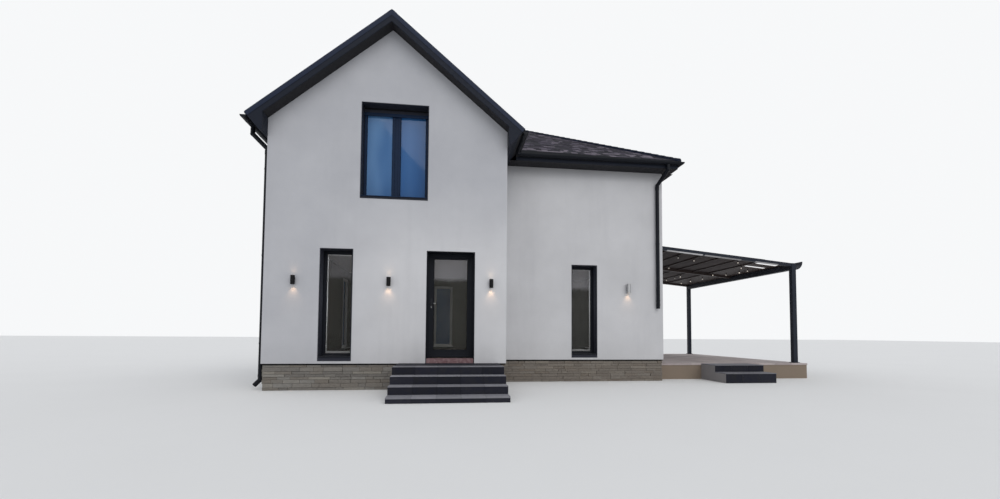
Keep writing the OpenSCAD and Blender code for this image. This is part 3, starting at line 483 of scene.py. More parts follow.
# The rails turn browner under the cover: painted shade of the cover.
PERGOLA_RAILS = painted_look("pergola_rails", (30, 34, 43), (42, 47, 58), 0.45, 0.0,
                             ("Y", 2.2, 2.5, (60, 51, 49), (76, 66, 63)))
LAMP_BLACK = painted_look("lamp_black", (16, 16, 18), (26, 26, 29), 0.5)
WINDOW_GLASS = glass_look("window_glass", 0.3)
DOOR_GLASS = glass_look("door_glass", 0.34)
STEEL = brushed_look("brushed_steel", (150, 151, 153), (186, 187, 188), 0.32, 0.24, 0.42)
GUNMETAL = brushed_look("gunmetal", (36, 37, 40), (54, 56, 60), 0.34, 0.28, 0.44)
THRESHOLD = threshold_look()
RISER = riser_look()
TREAD = tread_look()
PAVING = terrace_look("terrace_paving", (168, 157, 156), (196, 185, 183), (124, 117, 114))
TERRACE = terrace_look("terrace_concrete", (131, 117, 103), (149, 134, 116), (118, 108, 96))
# A lighter copy of the terrace's concrete for the steps' side, which faces away from the sun: painted light.
STEP_SIDE = terrace_look("terrace_step_side", (138, 134, 134), (156, 151, 150), (122, 120, 122))
FLOOR_BOARDS = wood_floor_look()
CLOTH = cloth_look()
WARM_GLOW = glow_look("warm_glow", (1.0, 0.7, 0.42), (1.0, 0.78, 0.54), 3.0)
BULB_GLOW = glow_look("bulb_glow", (0.02, 0.02, 0.02), (0.75, 0.68, 0.6), 1.0)
STRIP_GLOW = glow_look("strip_glow", (0.0, 0.0, 0.0), (0.3, 0.3, 0.31), 1.0, (70, 70, 73))


# Mesh building
BOX_CORNERS = [(x, y, z) for x in (-1, 1) for y in (-1, 1) for z in (-1, 1)]
BOX_FACES = [(0, 1, 3, 2), (4, 6, 7, 5), (0, 4, 5, 1), (2, 3, 7, 6), (0, 2, 6, 4), (1, 5, 7, 3)]


def in_scene(name, data):
    """A new object that the scene holds."""
    made = bpy.data.objects.new(name, data)
    bpy.context.scene.collection.objects.link(made)
    return made


def turned(origin, a, b, c):
    """A place given by its origin and its three axes."""
    return Matrix.Translation(origin) @ Matrix((a, b, c)).transposed().to_4x4()


def spread(a, b, count, gap=0.0):
    """Start and end of each of count equal pieces from a to b, with gaps between them."""
    for i in range(count):
        yield a + (b - a) * i / count + gap / 2, a + (b - a) * (i + 1) / count - gap / 2


def every(start, end, step):
    """Places a step apart, from start until end."""
    while start < end:
        yield start
        start += step


def chamfer_template():
    """Corner signs, inset axes and faces of a box whose edges and corners are cut."""
    verts = [(c, a) for c in BOX_CORNERS for a in range(3)]
    at = {v: i for i, v in enumerate(verts)}
    faces = []
    for a in range(3):
        for s in (-1, 1):
            ring = [c for c in BOX_CORNERS if c[a] == s]
            b, d = (a + 1) % 3, (a + 2) % 3
            ring.sort(key=lambda c: math.atan2(c[d], c[b]), reverse=s < 0)
            faces.append([at[(c, a)] for c in ring])
    for a in range(3):
        b = (a + 1) % 3
        e = 3 - a - b
        for sa in (-1, 1):
            for sb in (-1, 1):
                ends = sorted((c for c in BOX_CORNERS if c[a] == sa and c[b] == sb), key=lambda c: c[e])
                quad = [at[(ends[0], a)], at[(ends[0], b)], at[(ends[1], b)], at[(ends[1], a)]]
                faces.append(quad if sa * sb > 0 else quad[::-1])
    for c in BOX_CORNERS:
        tri = [at[(c, 0)], at[(c, 1)], at[(c, 2)]]
        faces.append(tri if c[0] * c[1] * c[2] > 0 else tri[::-1])
    return verts, faces


CHAMFER_VERTS, CHAMFER_FACES = chamfer_template()


class Shape:
    """Gathers solids into one mesh, each with a tone between 0 and 1."""

    def __init__(self, name):
        self.name = name
        self.verts = []
        self.faces = []
        self.tones = []
        self.smooth = []

    def solid(self, verts, faces, tone=0.5, place=None, smooth=False):
        start = len(self.verts)
        for v in verts:
            self.verts.append(place @ Vector(v) if place else Vector(v))
        for f in faces:
            self.faces.append([start + i for i in f])
            self.tones.append(tone)
            self.smooth.append(smooth)

    def box(self, lo, hi, chamfer=0.0, tone=0.5, place=None):
        mid = [(a + b) / 2 for a, b in zip(lo, hi)]
        half = [(b - a) / 2 for a, b in zip(lo, hi)]
        if chamfer <= 0:
            verts = [[m + s * h for m, s, h in zip(mid, c, half)] for c in BOX_CORNERS]
            self.solid(verts, BOX_FACES, tone, place)
            return
        verts = []
        for corner, axis in CHAMFER_VERTS:
            verts.append([m + s * (h - (0 if i == axis else chamfer))
                          for i, (m, s, h) in enumerate(zip(mid, corner, half))])
        self.solid(verts, CHAMFER_FACES, tone, place)

    def loft(self, rings, tone=0.5, place=None, smooth=False, closed=True):
        """A solid through rings of the same number of points."""
        n = len(rings[0])
        verts = [p for ring in rings for p in ring]
        faces = []
        for k in range(len(rings) - 1):
            for i in range(n):
                j = (i + 1) % n
                faces.append([k * n + i, k * n + j, (k + 1) * n + j, (k + 1) * n + i])
        if closed:
            faces.append(list(range(n))[::-1])
            faces.append([(len(rings) - 1) * n + i for i in range(n)])
        self.solid(verts, faces, tone, place, smooth)

    def tube(self, a, b, r, r2=None, tone=0.5, sides=20, place=None):
        a, b = Vector(a), Vector(b)
        turn = (b - a).to_track_quat("Z", "Y").to_matrix()
        rings = []
        for end, radius in ((a, r), (b, r if r2 is None else r2)):
            rings.append([end + turn @ Vector((radius * math.cos(t), radius * math.sin(t), 0))
                          for t in (2 * math.pi * i / sides for i in range(sides))])
        self.loft(rings, tone, place, smooth=True)

    def finish(self, material, slot, body=HOUSE, replaces=()):
        mesh = bpy.data.meshes.new(self.name)
        mesh.from_pydata(self.verts, [], self.faces)
        tone = mesh.attributes.new("tone", "FLOAT", "FACE")
        tone.data.foreach_set("value", self.tones)
        mesh.polygons.foreach_set("use_smooth", self.smooth)
        mesh.materials.append(material)
        mesh.update()
        if any(self.smooth):
            mesh.set_sharp_from_angle(angle=math.radians(40))
        made = in_scene(self.name, mesh)
        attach(made, body)
        if replaces:
            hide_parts(*replaces)
        return made


def dress(name, material):
    """Gives a CAD node its finished material."""
    for slot in node[name].material_slots:
        slot.material = material


def placed(x, y, turn):
    """A place on the ground, turned by so many degrees about Z."""
    return Matrix.Translation((x, y, 0)) @ Matrix.Rotation(math.radians(turn), 4, "Z")


# Windows stand in these places, each with x along the wall, y inwards and z up
NARROW = [placed(-1.041, FRONT, 0), placed(4.535, WING_Y, 0), placed(WING_X, WING_Y + 2.0, 90),
          placed(WING_X, REAR - 1.8, 90), placed(4.535, REAR, 180), placed(1.041, REAR, 180),
          placed(-1.041, REAR, 180), placed(LEFT, REAR - 2.2, 270), placed(LEFT, FRONT + 2.2, 270)]
WIDE = [placed(WIDE_X, FRONT, 0), placed(-WIDE_X, REAR, 180)]


def panes():
    """Each pane's opening in its frame: place, x0, x1, z0, z1."""
    for place in NARROW:
        side = NARROW_W / 2 - FRAME_W
        yield place, -side, side, NARROW_Z0 + NARROW_LOW, HEAD_Z - FRAME_W
    for place in WIDE:
        side = WIDE_W / 2 - FRAME_W
        for x0, x1 in ((-side, -MULLION_W / 2), (MULLION_W / 2, side)):
            yield place, x0, x1, WIDE_Z0 + WIDE_LOW, WIDE_Z1 - FRAME_W


def ring(shape, x0, x1, z0, z1, width, y0, y1, chamfer, place, inward=0.0):
    """Four bars round an opening; inward moves them over its edge."""
    a, b, c, d = x0 + inward, x1 - inward, z0 + inward, z1 - inward
    for left, bottom, right, top in (
            (a - width, c, a, d), (b, c, b + width, d), (a - width, c - width, b + width, c),
            (a - width, d, b + width, d + width)):
        shape.box((left, y0, bottom), (right, y1, top), chamfer, place=place)


def casing(shape, place):
    """White boards round the inside of a narrow window, which cover the frame's inner edges; their sides and
    head carry painted shade.
    """
    y0, y1 = REVEAL + FRAME_D + 0.002, WALL_T + 0.006
    side = NARROW_W / 2 - 0.001
    inner = NARROW_W / 2 - FRAME_W - CASING_LAP
    foot = NARROW_Z0 + NARROW_LOW + 0.048
    head = HEAD_Z - FRAME_W - CASING_LAP
    # Tone 0 gives the sides and the head painted shade; the foot, of tone 1, stays white.
    for left, bottom, right, top, tone in (
            (-side, foot, -inner, head, 0.0), (inner, foot, side, head, 0.0),
            (-side, SILL_Z + 0.031, side, foot, 1.0), (-side, head, side, HEAD_Z - 0.001, 0.0)):
        shape.box((left, y0, bottom), (right, y1, top), 0.002, tone, place)


def make_windows():
    """Sashes, seals, inner boards, sills and handles of every window, and the shutters' rails."""
    sashes = Shape("window_sashes")
    gaskets = Shape("window_gaskets")
    sills = Shape("inner_sills")
    handles = Shape("window_handles")
    casings = Shape("inner_casings")
    for place in NARROW:
        casing(casings, place)
    for place, x0, x1, z0, z1 in panes():
        ring(sashes, x0, x1, z0, z1, SASH_W, REVEAL - 0.014, REVEAL, 0.003, place)
        ring(sashes, x0, x1, z0, z1, BEAD_W, REVEAL - 0.006, PANE_Y - 0.001, 0.003, place, 0.005)
        ring(gaskets, x0, x1, z0, z1, SEAL_W, REVEAL + 0.004, PANE_Y - 0.0005, 0.001, place, 0.009)
        x, y = x1 + HANDLE_OUT, REVEAL + FRAME_D
        mid = (z0 + z1) / 2
        handles.box((x - 0.014, y, mid - 0.035), (x + 0.014, y + 0.008, mid + 0.035), 0.002, place=place)
        handles.tube((x, y + 0.006, mid), (x, y + 0.05, mid), 0.008, place=place)
        handles.box((x - 0.01, y + 0.038, mid - 0.12), (x + 0.01, y + 0.052, mid + 0.012), 0.004,
                    place=place)
    for place, w, z in [(p, NARROW_W, SILL_Z) for p in NARROW] + [(p, WIDE_W, WIDE_Z0 + 0.05) for p in WIDE]:
        x = w / 2 - 0.002
        sills.box((-x, REVEAL + FRAME_D + 0.001, z), (x, WALL_T, z + SILL_T), 0.002, place=place)
        x = w / 2 + SILL_LAP
        sills.box((-x, WALL_T, z), (x, WALL_T + SILL_OUT, z + SILL_T), 0.006, place=place)
    lips = Shape("shutter_lips")
    rails = Shape("shutter_rails")
    slats = Shape("shutter_slats")
    side = WIDE_W / 2 + 0.0005
    for place in WIDE:
        # The slats are real, but their near-black coat is painted shade under the window's head.
        for shape, y0, y1, z0, z1, chamfer in (
                (lips, 0.004, 0.02, SHUTTER_LIP_Z, SHUTTER_RAIL_Z + 0.002, 0.003),
                (rails, 0.0, 0.022, SHUTTER_RAIL_Z, SHUTTER_SLAT_Z, 0.004),
                (slats, 0.006, 0.018, SHUTTER_SLAT_Z - 0.002, WIDE_Z1, 0.003)):
            shape.box((-side, SHUTTER_Y + y0, z0), (side, SHUTTER_Y + y1, z1), chamfer, place=place)
    for shape, look in ((lips, FRAME_METAL), (rails, LINING), (slats, GASKET), (sashes, FRAME_METAL),
                        (gaskets, GASKET)):
        shape.finish(look, "frame_metal")
    sills.finish(INNER_PAINT, "inner_ceiling")
    casings.finish(INNER_PAINT, "inner_ceiling")
    handles.finish(STEEL, "handle_steel")


# Roofs
def lowered_deck(name, top, drop):
    """A copy of a roof slab whose top face is lowered, so that the shingles end at the slab's own top."""
    mesh = node[name].data.copy()
    mesh.name = name + "_deck"
    mesh.materials.clear()
    mesh.materials.append(SOFFIT)
    for v in mesh.vertices:
        if abs(v.co.z - top(v.co)) < 0.002:
            v.co.z -= drop
    made = in_scene(name + "_deck", mesh)
    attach(made, HOUSE)
    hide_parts(name)


SHINGLE_T = 0.012
COURSE = 0.145


def shingle_slope(shape, origin, along, up, height, left, right, start=-0.012, dusty=()):
    """Laminated shingles in courses: left and right give the slope's edges at a distance up it.

    Many shingles of the dusty courses are pale.
    """
    across = Vector(along).normalized()
    rise = Vector(up).normalized()
    place = turned(origin, across, rise, across.cross(rise))
    courses = math.ceil(height / COURSE)
    for i in range(courses):
        v0 = start if i == 0 else i * COURSE
        v1 = min((i + 1) * COURSE + 0.02, height)
        a0, b0, a1, b1 = left(v0), right(v0), left(v1), right(v1)
        u = min(a0, a1) - rng.uniform(0.0, 0.25)
        while u < max(b0, b1):
            w = rng.uniform(0.09, 0.24)
            t = SHINGLE_T if rng.random() < 0.5 else SHINGLE_T * 0.55
            p0, p1 = max(u, a0), min(u + w - 0.003, b0)
            q0, q1 = max(u, a1), min(u + w - 0.003, b1)
            u += w
            if p1 - p0 < 0.004 and q1 - q0 < 0.004:
                continue
            p1, q1 = max(p0, p1), max(q0, q1)
            foot = -SHINGLE_T - 0.002
            verts = [(p0, v0, foot), (p1, v0, foot), (p1, v0, t - SHINGLE_T), (p0, v0, t - SHINGLE_T),
                     (q0, v1, foot), (q1, v1, foot), (q1, v1, foot + 0.004), (q0, v1, foot + 0.004)]
            faces = [(0, 1, 2, 3), (5, 4, 7, 6), (3, 2, 6, 7), (1, 0, 4, 5), (0, 3, 7, 4), (2, 1, 5, 6)]
            tone = rng.random()
            if i in dusty and tone > 0.4:
                tone = 1.0
            shape.solid(verts, faces, tone, place)


def make_roofs():
    """Lowered decks under shingles that end on the wing's hips and in the two valleys."""
    slope_len = EAVE_X / G_COS
    wing_len = WING_HALF / W_COS
    for name in ("gable_roof_left", "gable_roof_right"):
        lowered_deck(name, lambda p: RIDGE_Z - abs(p.x) * G_TAN, SHINGLE_T / G_COS)
    for name, top in (("wing_roof_front", lambda p: WING_EAVE_Z + (p.y - WING_EDGE_Y0) * W_TAN),
                      ("wing_roof_rear", lambda p: WING_EAVE_Z + (WING_EDGE_Y1 - p.y) * W_TAN),
                      ("wing_roof_end", lambda p: WING_EAVE_Z + (WING_EDGE_X - p.x) * W_TAN)):
        lowered_deck(name, top, SHINGLE_T / W_COS)

    def shingled(name, *runs):
        shape = Shape(name)
        for run in runs:
            shingle_slope(shape, *run)
        shape.finish(SHINGLE, "roof_tile")

    def valley_y(v):
        """Where the wing's front slope meets the gable slope, at a distance up the gable slope."""
        z = EAVE_Z + v * G_SIN
        return min(WING_EDGE_Y0 + (z - WING_EAVE_Z) / W_TAN, WING_MID_Y)

    def valley_x(v):
        """Where the gable slope stops the wing's slopes, at a distance up them."""
        x = (RIDGE_Z - WING_EAVE_Z - v * W_SIN) / G_TAN
        return max(x, WING_EDGE_X0) if v < 0 else x

    y0, y1 = VERGE_Y0 + 0.004, VERGE_Y1 - 0.004
    right_slope = ((EAVE_X, y0, EAVE_Z), (0, 1, 0), (-G_COS, 0, G_SIN), slope_len)
    drip = -DRIP / W_COS
    shingled("gable_shingles_left", ((-EAVE_X, y1, EAVE_Z), (0, -1, 0), (G_COS, 0, G_SIN), slope_len,
                                     lambda v: 0.0, lambda v: y1 - y0))
    shingled("gable_shingles_right", (*right_slope, lambda v: 0.0, lambda v: valley_y(v) - y0),
             (*right_slope, lambda v: 2 * WING_MID_Y - valley_y(v) - y0, lambda v: y1 - y0))
    shingled("wing_shingles_front", ((0, WING_EDGE_Y0, WING_EAVE_Z), (1, 0, 0), (0, W_COS, W_SIN), wing_len,
                                     valley_x, lambda v: WING_EDGE_X - v * W_COS, drip, (1, 2)))
    shingled("wing_shingles_rear", ((0, WING_EDGE_Y1, WING_EAVE_Z), (-1, 0, 0), (0, -W_COS, W_SIN), wing_len,
                                    lambda v: v * W_COS - WING_EDGE_X, lambda v: -valley_x(v), drip))
    shingled("wing_shingles_end", ((WING_EDGE_X, WING_EDGE_Y0, WING_EAVE_Z), (0, 1, 0), (-W_COS, 0, W_SIN),
                                   wing_len, lambda v: v * W_COS, lambda v: 2 * WING_HALF - v * W_COS, drip))


def make_drips():
    """Metal drip edges that carry the wing's lowest shingles out over the gutters."""
    drips = Shape("drip_edges")
    reach = DRIP - 0.006
    under = -0.016

    def section(x, y, out_x, out_y):
        """A folded strip across the eave: it starts over the slab's edge and points out and down."""
        return [(x + out_x * along, y + out_y * along, WING_EAVE_Z - along * W_TAN + lift)
                for along, lift in ((-0.06, under), (reach, under), (reach, under - 0.03),
                                    (reach - 0.003, under - 0.03), (reach - 0.003, under - 0.003),
                                    (-0.06, under - 0.003))]

    ends = [section(WING_EDGE_X0, WING_EDGE_Y0, 0, -1), section(WING_EDGE_X, WING_EDGE_Y0, 1, -1),
            section(WING_EDGE_X, WING_EDGE_Y1, 1, 1), section(WING_EDGE_X0, WING_EDGE_Y1, 0, 1)]
    for pair in zip(ends, ends[1:]):
        drips.loft(pair)
    drips.finish(TRIM, "trim")


def cap_run(shape, start, end, slope, thick=0.012):
    """Overlapping folded shingles from the low or near end of a ridge to the other."""
    reach = 0.1
    start, end = Vector(start), Vector(end)
    length = (end - start).length
    ahead = (end - start).normalized()
    side = Vector((ahead.y, -ahead.x, 0)).normalized()
    place = turned(start, side, ahead, side.cross(ahead))
    count = max(1, round(length / 0.2))
    step = length / count

    def section(y, lift):
        fold = reach * 0.35
        outer = [(-reach, -reach * slope), (-fold, -fold * slope + 0.002), (fold, -fold * slope + 0.002),
                 (reach, -reach * slope)]
        return [(x, y, z + lift) for x, z in outer] + [(x, y, z - thick) for x, z in reversed(outer)]

    for i in range(count):
        y = i * step
        shape.loft([section(y, 0.016), section(y + step + 0.04, 0.004)], rng.random(), place)


HIP_RISE = 0.035


def make_caps():
    """Ridge and hip shingles, which stand in for the CAD model's plain caps."""
    caps = Shape("ridge_shingles")
    cap_run(caps, (0, VERGE_Y0, RIDGE_Z), (0, VERGE_Y1, RIDGE_Z), G_TAN)
    ridge_start = (RIDGE_Z - WING_RIDGE_Z) / G_TAN
    cap_run(caps, (ridge_start, WING_MID_Y, WING_RIDGE_Z), (HIP_X, WING_MID_Y, WING_RIDGE_Z), W_TAN)
    hip_slope = W_TAN / math.sqrt(2 + W_TAN ** 2)
    corner_z = WING_EAVE_Z - DRIP * W_TAN + HIP_RISE
    for y in (WING_EDGE_Y0 - DRIP, WING_EDGE_Y1 + DRIP):
        hip_top = (HIP_X, WING_MID_Y, WING_RIDGE_Z + 0.01)
        cap_run(caps, (WING_EDGE_X + DRIP, y, corner_z), hip_top, hip_slope, HIP_RISE + 0.012)
    caps.finish(RIDGE, "roof_tile", replaces=("roof_caps",))


def make_verges():
    """Metal flashings over the verge boards, along both slopes at the front and the rear."""
    flashing = Shape("verge_flashings")
    for y_out, inwards in ((VERGE_Y0, 1), (VERGE_Y1, -1)):
        for side in (-1, 1):
            for ya, yb, na, nb in ((-0.007, 0.0, -0.085, 0.006), (0.0, 0.075, 0.0, 0.006)):
                rings = []
                for end in (0, 1):
                    points = []
                    for y, n in ((ya, na), (yb, na), (yb, nb), (ya, nb)):
                        x = (EAVE_X + n * G_SIN) if end == 0 else 0.0
                        z = (EAVE_Z + n * G_COS) if end == 0 else RIDGE_Z + n / G_COS
                        points.append((side * x, y_out + inwards * y, z))
                    rings.append(points)
                if side * inwards < 0:
                    rings.reverse()
                flashing.loft(rings)
    flashing.finish(TRIM_PALE, "trim")


SOFFIT_T = 0.008
SOFFIT_GAP = 0.006


def make_soffits():
    """Narrow boards under the wing's eaves and the gable's verges."""
    boards = Shape("soffit_boards")
    z = low("wing_eaves").z
    for side, wall, edge in ((-1, WING_Y, WING_EDGE_Y0), (1, REAR, WING_EDGE_Y1)):
        for a, b in spread(wall, edge, 4, side * SOFFIT_GAP):
            boards.box((EAVE_X + 0.01, min(a, b), z - SOFFIT_T), (WING_EDGE_X, max(a, b), z), 0.003)
    corner_x = low("wing_eaves").x + 0.01
    boards.box((RIGHT + 0.1, WING_EDGE_Y0, z - SOFFIT_T), (corner_x, WING_Y, z), 0.003)
    for a, b in spread(WING_X, WING_X + 0.3, 3, SOFFIT_GAP):
        boards.box((a, WING_Y, z - SOFFIT_T), (b, REAR, z), 0.003)
    boards.finish(SOFFIT, "trim")


# Rainwater goods
def strap(shape, centre, axis, r, width, sweep0, sweep1, thick=0.003, steps=12):
    """A flat strap bent round a gutter or pipe that runs along axis."""
    axis = Vector(axis).normalized()
    side = Vector((0, 0, 1)).cross(axis)
    if side.length < 0.01:
        side = Vector((1, 0, 0))
    side.normalize()
    up = axis.cross(side)
    rings = []
    for i in range(steps + 1):
        t = math.radians(sweep0 + (sweep1 - sweep0) * i / steps)
        out = side * math.cos(t) + up * math.sin(t)
        mid = Vector(centre) + out * r
        half = axis * width / 2
        rings.append([mid - half, mid + half, mid + half + out * thick, mid - half + out * thick])
    shape.loft(rings)


def make_rainwater():
    """Gutter brackets, and the clamps and collars of the downpipes."""
    brackets = Shape("gutter_brackets")
    gx = EAVE_X - (EAVE_Z - GABLE_RIM_Z) * G_TAN + GUTTER_R
    gy = WING_EDGE_Y0 - GUTTER_R

    def hold(x, y, z, axis):
        strap(brackets, (x, y, z), axis, GUTTER_R, BRACKET_W, 180, 360)

    for y in every(VERGE_Y0 + 0.25, VERGE_Y1, BRACKET_STEP):
        hold(-gx, y, GABLE_RIM_Z, (0, 1, 0))
        if y < WING_EDGE_Y0 - 0.2:
            hold(gx, y, GABLE_RIM_Z, (0, 1, 0))
    for x in every(EAVE_X + 0.3, WING_EDGE_X, BRACKET_STEP):
        hold(x, gy, WING_RIM_Z, (1, 0, 0))
        hold(x, 2 * WING_MID_Y - gy, WING_RIM_Z, (1, 0, 0))
    for y in every(WING_EDGE_Y0 + 0.3, WING_EDGE_Y1, BRACKET_STEP):
        hold(WING_EDGE_X + GUTTER_R, y, WING_RIM_Z, (0, 1, 0))
    brackets.finish(GUTTER, "gutter_metal")

    clamps = Shape("pipe_clamps")
    for x, y, heights, foot, rim in (
            (LEFT - PIPE_OUT, LEFT_PIPE_Y, LEFT_CLAMPS, 0.2, GABLE_RIM_Z),
            (WING_PIPE_X, WING_Y - PIPE_OUT, WING_CLAMPS, WING_PIPE_END, WING_RIM_Z)):
        for z in heights:
            strap(clamps, (x, y, z), (0, 0, 1), PIPE_R, CLAMP_W, 0, 360, 0.004, 28)
        neck = rim - NECK_DROP
        for z0, z1 in ((foot + 0.06, foot + 0.11), (neck - 0.12, neck - 0.04)):
            clamps.tube((x, y, z0), (x, y, z1), PIPE_COLLAR_R, sides=28)
    clamps.finish(GUTTER, "gutter_metal")


# Plinth
def stone_rows(shape, length, z0, z1, place, depth=0.03):
    """Rows of split stones of uneven length; x runs along the wall and y out of it."""
    z = z0
    while z < z1 - 0.02:
        h = rng.choice((0.055, 0.07, 0.085))
        if z + h > z1 - 0.03:
            h = z1 - z
        x = 0.0
        while x < length - 0.01:
            w = rng.uniform(0.14, 0.42)
            if x + w > length - 0.1:
                w = length - x
            out = rng.uniform(0.010, depth)
            shape.box((x + 0.0015, -0.01, z + 0.0015), (x + w - 0.0015, out, z + h - 0.0015), 0.004,
                      rng.random(), place)
            x += w
        z += h


def make_plinth():
    """Stones on every face of the plinth that the steps and the terrace leave open."""
    stones = Shape("plinth_stones")
    inset = 0.04
    x0, x1, y0, y1 = LEFT + inset, RIGHT - inset, FRONT + inset, REAR - inset
    wx, wy = WING_X - inset, WING_Y + inset
    step_x0, step_x1 = low("entry_landing").x, high("entry_landing").x
    terrace_y, terrace_z = low("terrace").y, high("terrace").z
    top = PLINTH_H - 0.03
    # A dark base profile under the plaster's edge: it paints the shadow line there as painted shade.
    shadow_track = Shape("plaster_base_track")

    def face(a, b, z0=0.0, z1=top):
        """From a to b along a wall whose outside is on the right-hand side of that way."""
        a, b = Vector((*a, 0)), Vector((*b, 0))
        ahead = (b - a).normalized()
        place = turned(a, ahead, (ahead.y, -ahead.x, 0), (0, 0, 1))
        stone_rows(stones, (b - a).length, z0, z1, place)
        shadow_track.box((0, -0.005, top + 0.002), ((b - a).length, 0.036, PLINTH_H - 0.001), 0.002, place=place)

    face((x0, y0), (step_x0 - 0.005, y0))
    face((step_x1 + 0.005, y0), (x1, y0))
    face((x1, y0), (x1, wy))
    face((x1 + 0.03, wy), (wx, wy))
    face((wx, wy), (wx, terrace_y - 0.005))
    face((wx, terrace_y), (wx, y1), terrace_z + 0.006)
    face((wx, y1), (x0, y1))
    face((x0, y1), (x0, y0))
    stones.finish(STONE, "plinth_stone")
    shadow_track.finish(GASKET, "frame_metal")


# Steps and terrace
def slab_grid(shape, lo, hi, nx, ny, z0, z1):
    """Slabs side by side on a rectangle."""
    for x0, x1 in spread(lo[0], hi[0], nx, 0.004):
        for y0, y1 in spread(lo[1], hi[1], ny, 0.004):
            shape.box((x0, y0, z0), (x1, y1, z1), 0.004, rng.random())


# How thick each entrance step's tread slabs look, and how pale they are; the paleness is partly wear and
# partly painted light.
ENTRY_TREADS = {"entry_step_1": (0.026, 0.68), "entry_step_2": (0.012, 0.56), "entry_step_3": (0.005, 0.72),
                "entry_landing": (0.004, 0.46)}
# The terrace's steps likewise, with a paleness that is partly painted light.
TERRACE_SLAB = 0.012
TERRACE_PALE = 0.45
# How far the slabs stand out of the steps' sides, tops and fronts, and the joints between them
SKIN = 0.006
LIFT = 0.004
NOSE = 0.014
JOINT = 0.003
# How far back the row of pale tread slabs reaches
TREAD_D = 0.3
# The lower of the terrace's two steps
LOW_STEP_H = 0.232
LOW_STEP_D = 0.46


def make_steps():
    """Pale tread slabs and dark riser slabs over the four blocks of the entrance steps."""
    treads = Shape("entry_treads")
    risers = Shape("entry_risers")
    for name, (slab, pale) in ENTRY_TREADS.items():
        lo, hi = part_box(name)
        add_treads(treads, lo, hi, 5, lo.y + TREAD_D, slab, pale)
        add_risers(risers, lo, hi, 5, slab)
        for x in (lo.x - SKIN, hi.x - 0.014):
            risers.box((x, lo.y, lo.z + 0.002), (x + 0.02, hi.y, hi.z - slab - 0.002), 0.003, rng.random())
        if name == "entry_landing":
            # The landing's rear slabs take the dark riser stone: painted shade near the wall.
            back = Shape("landing_slabs")
            slab_grid(back, (lo.x - SKIN, lo.y + TREAD_D), (hi.x + SKIN, hi.y), 5, 2, hi.z - slab,
                      hi.z + LIFT)
            back.finish(RISER, "step_stone")
    treads.finish(TREAD, "step_stone")
    risers.finish(RISER, "step_stone")

    lo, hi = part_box("terrace_steps")
    low_z = lo.z + LOW_STEP_H
    edge_y = lo.y + LOW_STEP_D
    treads = Shape("terrace_step_treads")
    risers = Shape("terrace_step_risers")
    for a, b in ((lo, Vector((hi.x, edge_y, low_z))), (Vector((lo.x, edge_y, low_z)), hi)):
        add_treads(treads, a, b, 3, b.y, TERRACE_SLAB, TERRACE_PALE)
        add_risers(risers, a, b, 3, TERRACE_SLAB)
    treads.finish(TREAD, "step_stone")
    risers.finish(RISER, "step_stone")

    lo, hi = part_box("terrace")
    paving = Shape("terrace_slabs")
    slab_grid(paving, (WING_X + 0.002, lo.y - 0.015), (hi.x + 0.015, hi.y), 9, 12, hi.z - 0.04, hi.z + LIFT)
    paving.finish(PAVING, "terrace_concrete")


def add_treads(shape, lo, hi, count, back, slab, pale):
    """A row of pale slabs whose front edges stand a little proud of the risers."""
    for x0, x1 in spread(lo.x - SKIN, hi.x + SKIN, count, JOINT):
        shape.box((x0, lo.y - NOSE, hi.z - slab), (x1, back, hi.z + LIFT), 0.002,
                  rng.uniform(pale - 0.12, pale + 0.12))


def add_risers(shape, lo, hi, count, slab):
    """Dark upright slabs across the front of a step, under its treads."""
    for x0, x1 in spread(lo.x, hi.x, count, JOINT):
        shape.box((x0, lo.y - SKIN, lo.z + 0.002), (x1, lo.y + 0.02, hi.z - slab - 0.002), 0.003,
                  rng.random())


# Front door: the lock and the lever's spindle, measured from the handle plate's corner
LEVER_X = 0.017
LOCK_UP = 0.035
LOCK_R = 0.011
LEVER_COLLAR_R = 0.014
SLEEVE_R = 0.0105


def make_threshold():
    """Upright tiles along the threshold, in front of the door frame's bottom bar."""
    tiles = Shape("threshold_tiles")
    lo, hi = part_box("door_threshold")
    bar_y = FRONT + REVEAL
    for x0, x1 in spread(lo.x, hi.x, 4, JOINT):
        tiles.box((x0, lo.y - 0.004, lo.z + 0.004), (x1, bar_y - 0.001, hi.z + 0.026), 0.003, rng.random())
    tiles.finish(THRESHOLD, "step_stone")


